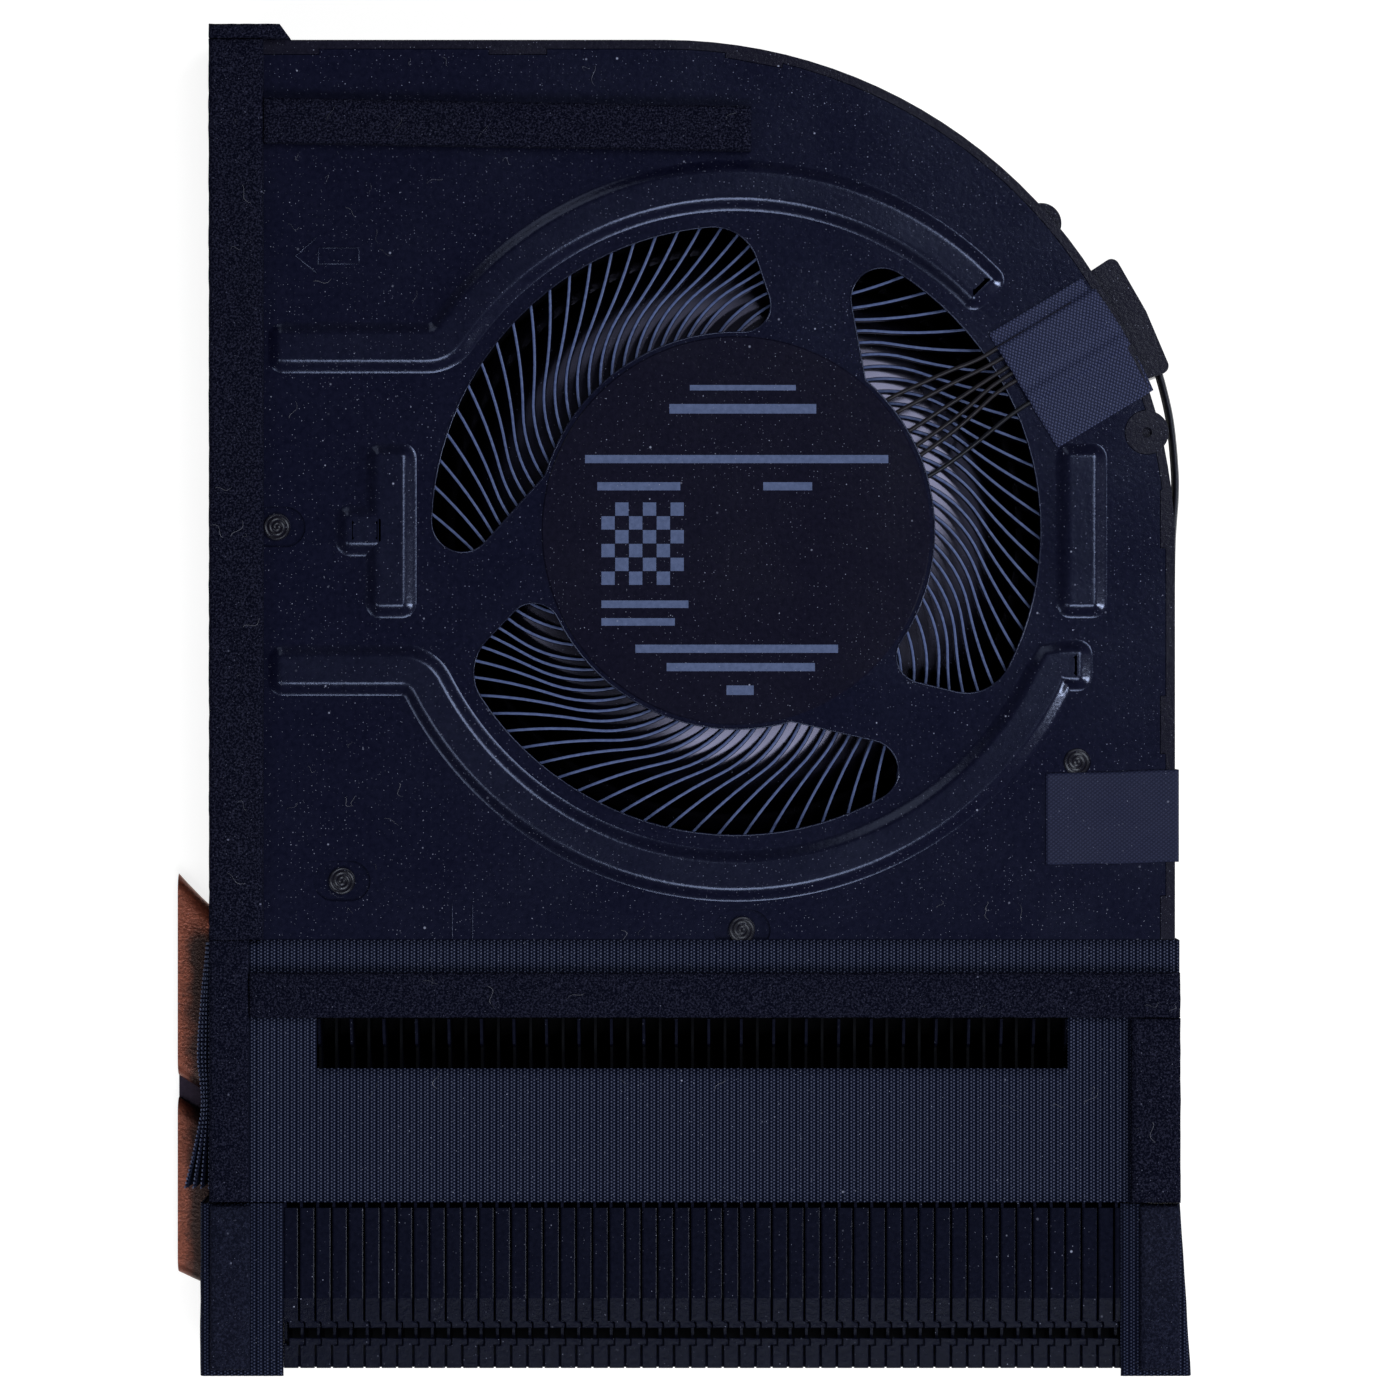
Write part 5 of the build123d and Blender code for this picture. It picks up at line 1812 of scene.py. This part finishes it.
@dataclass
class DuctCloth:
    """Ribbed cloth over the duct, its loose flap and the wrapped ends of the fins."""

    box: tuple[float, float, float, float] = (-38.68, 32.5, -49.4, -30.13)
    slot: tuple[float, float, float, float] = (-30.9, 24.38, -39.56, -35.8)
    top: float = 8.14
    low: float = 2.3
    pitch: float = 0.49
    depth: float = 0.06
    rib_round: float = 0.6
    cloth: float = 0.12
    face_noise: Point = (0.02, 0.25, 0.0)
    skirt: float = 6.0
    skirt_bend: tuple[Point, Point] = ((0.12, 0.1, 0.15), (0.15, 0.25, 0.3))
    skirt_length: float = 5.8
    skirt_runs: int = 18
    flap: tuple[Spot, ...] = (
        (-30.4, 0.26), (-33.9, 0.6), (-38.3, 0.93), (-42.1, 0.62), (-45.1, 1.1), (-48.35, 1.85)
    )
    flap_root: float = -38.72
    flap_top: float = 8.0
    flap_layers: tuple[float, ...] = (0.04, 0.36, 0.68, 1.0)
    flap_shrink: Spot = (0.1, 0.12)
    flap_lean: float = 0.1
    flap_noise: Point = (0.03, 0.5, 2.0)
    flap_rows: int = 5
    flap_cloth: float = 0.17
    stitch: Spot = (0.1, 0.17)
    stitch_step: float = 0.32
    stitch_levels: tuple[Spot, ...] = ((1.0, -0.02), (1.0, 0.03), (0.6, 0.06))
    wraps: tuple[Wrap, ...] = (
        Wrap("left_wrap_cloth", "left_end_wrap", -39.44, -33.3, 1, 0.0),
        Wrap("right_wrap_cloth", "right_end_wrap", 33.5, 28.3, -1, 0.8),
    )
    wrap_y: Spot = (-62.2, -49.5)
    wrap_low: float = 2.4
    wrap_shoulder: tuple[Spot, ...] = ((0.0, 7.7), (0.08, 7.98))
    wrap_start: float = 0.2
    wrap_top: float = 8.2
    wrap_edge: Spot = (8.12, 7.93)
    wrap_wall: float = 0.35
    wrap_steps: int = 14
    wrap_tuck: Spot = (0.12, 7.5)
    wrap_noise: Point = (0.05, 0.5, 0.6)
    slant_reach: float = 1.5
    under_x: Spot = (-37.4, 29.1)
    under_path: tuple[Spot, ...] = ((-36.0, 2.22), (-33.5, 2.22), (-31.6, 0.64), (-26.4, 0.6))
    under_runs: int = 540

    def build(self) -> None:
        """Makes all woven pieces of the duct."""
        sheet = settle(self._sheet(), Body.HOUSING, "duct_fabric", "duct_cloth")
        width, length = (self.box[1] - self.box[0] + self.skirt) * MM, (self.box[3] - self.box[2]) * MM
        under = settle(self._under(), Body.HOUSING, "duct_fabric")
        width, length = (self.under_x[1] - self.under_x[0]) * MM, travel(self.under_path)[-1] * MM
        flap = settle(self._flap(), Body.HOUSING, "duct_fabric", "left_flap")
        settle(self._flap_stitches(), Body.HOUSING, "duct_fabric")
        for wrap in self.wraps:
            settle(self._wrap(wrap), Body.HOUSING, "duct_fabric", wrap.node)

    def _rib(self, u: float) -> float:
        """Height of the ribbing at one place across it."""
        return self.depth * abs(math.sin(math.pi * u / self.pitch)) ** self.rib_round

    def _sheet(self) -> bpy.types.Object:
        """The large ribbed sheet with its slot and the skirt at the right.

        Returns:
            The piece.
        """
        left, right, low, high = self.box
        count = int((right - left) / self.pitch * 4) + 1
        across = [left + i * self.pitch / 4 for i in range(count)]
        profile = [(x, self.top + self._rib(x) - self.depth, x) for x in across]
        last = across[-1]
        (out, drop, mark), (far, start, run) = self.skirt_bend
        profile.append((last + out, self.top - drop, last + mark))
        for share in evenly(0.0, 1.0, self.skirt_runs):
            z = lerp(self.top - start, self.low, share)
            profile.append((last + far, z, last + run + self.skirt_length * share))
        sl, sr, sb, st = self.slot
        ys = sorted({
            a + (b - a) * i / steps
            for a, b, steps in ((low, sb, 10), (sb, st, 4), (st, high, 6)) for i in range(steps + 1)
        })
        grid = [[(x, y, z + wobble(self.face_noise, x, y)) for x, z, _ in profile] for y in ys]
        marks = [[(u, y) for _, _, u in profile] for y in ys]
        shell = Shell()
        shell.grid(grid, marks, keep=lambda x, y: not (sl < x < sr and sb < y < st))
        return cloth("duct_cloth_sheet", CLOTH, shell, self.cloth)

    def _under(self) -> bpy.types.Object:
        """Strip of the same cloth that closes the duct from below, behind the fins.

        Returns:
            The piece.
        """
        across = evenly(*self.under_x, self.under_runs)
        grid = [[(x, y, z + self._rib(x) - self.depth) for x in across] for y, z in self.under_path]
        shell = Shell()
        shell.grid(grid, [[(x, run) for x in across] for run in travel(self.under_path)])
        return cloth("duct_under_cloth", CLOTH, shell, self.cloth)

    def _flap_line(self, number: int, row: int) -> list[Point]:
        """A line along a loose layer.

        Args:
            number: Number of the layer, from the inside.
            row: Number of the line, from the layer's foot.

        Returns:
            Points along the line.
        """
        share = row / self.flap_rows
        foot, edge = self.flap_shrink
        z = lerp(self.low + foot * number, self.flap_top - edge * number, share)
        reach = self.flap_layers[number] * (1 - self.flap_lean + self.flap_lean * share)
        height, frequency, layer = self.flap_noise
        return [
            (self.flap_root - out * reach + height * ripple(y * frequency, z, number * layer), y, z)
            for y, out in spline(self.flap)
        ]

    def _flap(self) -> bpy.types.Object:
        """Loose layers of cloth standing on edge along the left side.

        Returns:
            The piece.
        """
        shell = Shell()
        for number in range(len(self.flap_layers)):
            grid = [self._flap_line(number, row) for row in range(self.flap_rows + 1)]
            shell.grid(grid, [[(z, y) for _, y, z in points] for points in grid])
        return thicken(shell.piece("left_flap_layers", WRAP, closed=False), self.flap_cloth)

    def _flap_stitches(self) -> bpy.types.Object:
        """Light stitches along the edges of the loose layers.

        Returns:
            The piece.
        """
        points: list[Point] = []
        edges: list[Edge] = []
        for number in range(len(self.flap_layers)):
            thread(points, edges, self._flap_line(number, self.flap_rows))
        recipe = Recipe("flap_stitches", {"Stitch": "Object", "Step": "Float", "Finish": "Material"})
        curve = recipe.graph.add("GeometryNodeMeshToCurve", {"Mesh": recipe["Geometry"]}).outputs[0]
        values = {"Curve": curve, "Length": recipe["Step"]}
        even = recipe.graph.add("GeometryNodeResampleCurve", values, mode="LENGTH")
        recipe.end(recipe.place(even.outputs[0], "Stitch"), "Finish")
        wide, long = self.stitch
        corners = ((-1, -1), (1, -1), (1, 1), (-1, 1))
        rings = [
            [(x * wide * size / 2, y * long * size / 2, z) for x, y in corners]
            for size, z in self.stitch_levels
        ]
        return recipe.run("flap_stitches", wires("flap_edges", points, edges), {
            "Stitch": lofted("stitch_one", STITCH, rings, centred=False), "Step": self.stitch_step * MM,
            "Finish": STITCH.material(),
        })

    def _wrap(self, wrap: Wrap) -> bpy.types.Object:
        """A wrapped end of the fin stack.

        Args:
            wrap: Its measures.

        Returns:
            The piece.
        """
        outer, inner, side = wrap.outer, wrap.inner, wrap.side
        foot = inner - side * self.wrap_wall
        places = [i * self.pitch / 4 for i in range(int(abs(inner - outer) / self.pitch * 4) - 1)]
        edge, bed = self.wrap_edge
        profile = [(outer, self.wrap_low), *((outer + side * x, z) for x, z in self.wrap_shoulder)]
        profile += [
            (outer + side * (self.wrap_start + u), self.wrap_top + self._rib(u) - self.depth) for u in places
        ]
        profile += [(inner, edge), (inner, bed), (foot, bed), (foot, self.wrap_low)]
        tuck, tuck_from = self.wrap_tuck
        height, along, upright = self.wrap_noise
        rings = []
        for j in range(self.wrap_steps + 1):
            y = lerp(*self.wrap_y, j / self.wrap_steps)
            draw = side * wrap.slant * j / self.wrap_steps
            ring = []
            for x, z in profile:
                drawn = draw * max(1 - abs(x - outer) / self.slant_reach, 0.0)
                wave = height * ripple(y * along, z * upright, side)
                ring.append((x + drawn + wave, y, z - tuck if j == 0 and z > tuck_from else z))
            rings.append(ring)
        return lofted(wrap.name, WRAP, rings, crease=70.0)


@dataclass(frozen=True)
class FoamBlock:
    """One piece of foam: its plan from the lower left corner counterclockwise, underside and top."""

    name: str
    node: str
    corners: tuple[Spot, Spot, Spot, Spot]
    low: float
    high: float = 9.15
    finish: Finish = FOAM


@dataclass
class Foam:
    """Foam strips, pads and the corner cap, each soft at its edges."""

    cell: float = 0.5
    least_cells: int = 4
    most_cells: tuple[int, int] = (80, 140)
    edge_share: float = 0.3
    soft: float = 0.16
    soft_width: float = 0.25
    side_noises: tuple[Point, Point] = ((0.04, 1.3, 2.0), (0.04, 1.3, 7.0))
    top_noise: Spot = (0.03, 0.8)
    blocks: tuple[FoamBlock, ...] = (
        FoamBlock(
            "left_foam_strip", "left_gasket",
            ((-38.68, -30.08), (-34.75, -30.08), (-34.75, 36.05), (-38.72, 36.05)), 8.0,
        ),
        FoamBlock(
            "left_foam_foot", "left_gasket",
            ((-38.68, -49.3), (-35.8, -49.3), (-35.8, -30.1), (-38.68, -30.1)), 8.2,
        ),
        FoamBlock(
            "top_foam_strip", "top_gasket",
            ((-34.68, 28.45), (1.1, 27.85), (1.1, 31.1), (-34.68, 31.72)), 8.0,
        ),
        FoamBlock(
            "cross_foam_strip", "cross_gasket",
            ((-35.72, -35.78), (32.6, -35.78), (32.6, -32.5), (-35.72, -32.5)), 8.2,
        ),
        FoamBlock(
            "right_foam_strip", "right_gasket",
            ((29.0, -49.35), (32.62, -49.35), (32.62, -35.85), (29.0, -35.85)), 8.2,
        ),
        FoamBlock(
            "left_pad_foam", "left_end_pad",
            ((-38.65, -61.7), (-35.72, -61.7), (-35.72, -49.62), (-38.65, -49.62)), 8.2, 8.75, PAD,
        ),
        FoamBlock(
            "right_pad_foam", "right_end_pad",
            ((29.7, -61.7), (32.62, -61.7), (32.62, -49.62), (29.7, -49.62)), 8.2, 8.75, PAD,
        ),
        FoamBlock(
            "corner_cap_foam", "corner_cap",
            ((-38.7, 36.12), (-32.75, 36.12), (-33.5, 37.15), (-38.7, 37.15)), 2.4,
        ),
    )

    def build(self) -> None:
        for block in self.blocks:
            piece = settle(self._block(block), Body.HOUSING, "foam", block.node)

    def _shares(self, side: float, most: int) -> list[float]:
        """Where the points lie along a side, with a closer row at each end.

        Args:
            side: Length of the side.
            most: Largest number of cells.

        Returns:
            Shares of the side from 0 to 1.
        """
        count = min(max(self.least_cells, round(side / self.cell)), most)
        near = self.edge_share / count
        return [0.0, near, *(i / count for i in range(1, count)), 1 - near, 1.0]

    def _block(self, block: FoamBlock) -> bpy.types.Object:
        """A block of foam with soft, slightly uneven edges.

        Args:
            block: Its measures.

        Returns:
            The piece.
        """
        a, b, c, d = block.corners
        width, length = math.dist(a, b), math.dist(a, d)
        us, vs = (self._shares(side, most) for side, most in zip((width, length), self.most_cells))
        rows = []
        for v in vs:
            row = []
            for u in us:
                x, y = (lerp(lerp(a[k], b[k], u), lerp(d[k], c[k], u), v) for k in (0, 1))
                margin = min(u * width, (1 - u) * width, v * length, (1 - v) * length)
                fall = self.soft * (1 - min(margin / self.soft_width, 1.0)) ** 2
                x += wobble(self.side_noises[0], x, y)
                y += wobble(self.side_noises[1], x, y)
                row.append((x, y, block.high - fall + wobble((*self.top_noise, block.high), x, y)))
            rows.append(row)
        shell = Shell()
        ids = shell.grid(rows)
        rim = ids[0][:-1] + [row[-1] for row in ids[:-1]] + ids[-1][:0:-1] + [row[0] for row in ids[:0:-1]]
        foot = shell.add([(shell.points[i][0], shell.points[i][1], block.low) for i in rim])
        for i in range(len(rim)):
            j = (i + 1) % len(rim)
            shell.face((rim[j], rim[i], foot[i], foot[j]))
        shell.face(foot[::-1])
        return shell.piece(block.name, block.finish, crease=75.0)


@dataclass
class PipeStrip:
    """Dark strip that fills the gap between the two bent pipes; its dark colour is painted shade for that gap.
    """

    centre: Spot = (-16.4, -3.2)
    radii: Spot = (45.085, 46.515)
    left: float = -41.7
    top: float = 0.9
    steps: int = 24

    def build(self) -> None:
        """Makes the strip along the bend."""
        inner, outer = self.radii
        profile = [(inner, 0.0), (outer, 0.0), (outer, self.top), (inner, self.top)]
        rings = []
        for i in range(self.steps + 1):
            ring = []
            for radius, z in profile:
                end = math.degrees(math.acos((self.left - self.centre[0]) / radius))
                x, y = polar(radius, lerp(270.0, 360.0 - end, i / self.steps))
                ring.append((x + self.centre[0], y + self.centre[1], z))
            rings.append(ring)
        settle(lofted("pipe_strip_bar", PIPE_GAP_SHADE, rings), Body.HOUSING, "strip_rubber", "pipe_strip")


@dataclass
class Lint:
    """Loose fibres on the cover, the foam and the duct cloth, in fields of left, right, low, high and height."""

    fields: tuple[tuple[float, float, float, float, float], ...] = (
        (-34.0, -20.0, 17.0, 27.4, 8.012), (-34.0, 0.0, 27.0, 27.8, 8.012), (-33.0, -29.8, 2.0, 9.0, 8.012),
        (-34.0, -24.0, -29.5, -14.5, 8.012), (-18.0, 22.0, -30.0, -28.0, 8.012),
        (14.0, 22.0, -28.5, -24.5, 8.012), (-30.0, -4.0, 32.4, 35.0, 8.012),
        (-38.2, -35.2, -28.0, 35.0, 9.165), (-33.5, 0.0, 28.9, 30.6, 9.165),
        (-34.0, 32.0, -35.3, -33.0, 9.165), (-34.0, 28.0, -42.5, -40.4, 8.16),
        (29.2, 32.3, -48.0, -37.0, 9.165),
    )
    density: float = 60000.0
    smallest: Point = (0.2, 0.3, 1.0)
    largest: Point = (1.4, 1.5, 1.0)
    length: float = 1.1
    radius: float = 0.012
    curl: Point = (0.22, 5.0, 0.12)
    taper: Spot = (0.08, 0.92)
    runs: int = 8
    seed: int = 7

    def build(self) -> None:
        """Scatters one curled fibre over the fields with a fixed seed."""
        ground = Shell()
        for left, right, low, high, z in self.fields:
            ground.face(ground.add([(left, low, z), (right, low, z), (right, high, z), (left, high, z)]))
        base = ground.piece("lint_ground", closed=False)
        recipe = Recipe("lint", {
            "Fibre": "Object", "Density": "Float", "Smallest": "Vector", "Largest": "Vector", "Seed": "Int",
            "Finish": "Material",
        })
        graph, seed = recipe.graph, recipe["Seed"]
        spread = graph.add("GeometryNodeDistributePointsOnFaces", {
            "Mesh": recipe["Geometry"], "Density": recipe["Density"], "Seed": seed,
        })
        whole = (0.0, 0.0, 2 * math.pi)
        turn, size = (
            graph.add("FunctionNodeRandomValue", {0: low, 1: high, "Seed": draw}, data_type="FLOAT_VECTOR")
            for low, high, draw in (
                ((0.0, 0.0, 0.0), whole, seed),
                (recipe["Smallest"], recipe["Largest"], graph.math("ADD", seed, 1.0)),
            )
        )
        placed = recipe.place(spread.outputs[0], "Fibre", Rotation=turn.outputs[0], Scale=size.outputs[0])
        recipe.end(placed, "Finish")
        piece = recipe.run("lint_fibres", base.data, {
            "Fibre": self._fibre(), "Density": self.density, "Smallest": self.smallest,
            "Largest": self.largest, "Seed": self.seed, "Finish": LINT.material(),
        })
        bpy.data.objects.remove(base)
        settle(piece, Body.HOUSING, "duct_fabric")

    def _fibre(self) -> bpy.types.Object:
        """One thin fibre that curls as it lies.

        Returns:
            The shape, for a recipe.
        """
        swing, turn, drift = self.curl
        rings = []
        for t in evenly(0.0, 1.0, self.runs):
            x, y = self.length * (t - 0.5), swing * math.sin(t * turn) + drift * t * t
            radius = self.radius * (0.5 + 0.5 * math.sin(math.pi * lerp(*self.taper, t)))
            section = [polar(radius, a) for a in (45, 135, 225, 315)]
            rings.append([(x, y + across, self.radius + up) for across, up in section])
        return lofted("fibre_one", LINT, rings, centred=False)


NODE_FINISHES: dict[str, Finish] = {
    "fan_cover": PAINT, "base_cover": BASE_PAINT, "fan_frame": PLASTIC, "rotor_cup": CUP,
    "magnet_ring": MAGNET, "shaft": STEEL, "bearing_tube": BRASS, "bearing_sleeve": BRONZE,
    "thrust_pad": THRUST, "stator_core": CORE, "stator_coils": COIL, "motor_board": BOARD,
    "drive_chip": CHIP, "upper_heat_pipe": COPPER, "lower_heat_pipe": COPPER,
}


def main() -> None:
    """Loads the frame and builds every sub-assembly."""
    logging.basicConfig(level=logging.INFO, format="%(name)s: %(message)s")
    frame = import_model()
    Studio().build()
    nodes = frame["nodes"]
    dress(nodes, NODE_FINISHES)
    Cover().build(nodes)
    for part in (Label, Impeller, Wiring, FinStack, DuctCloth, Foam, PipeStrip, Lint):
        part().build()


if __name__ == "__main__":
    main()
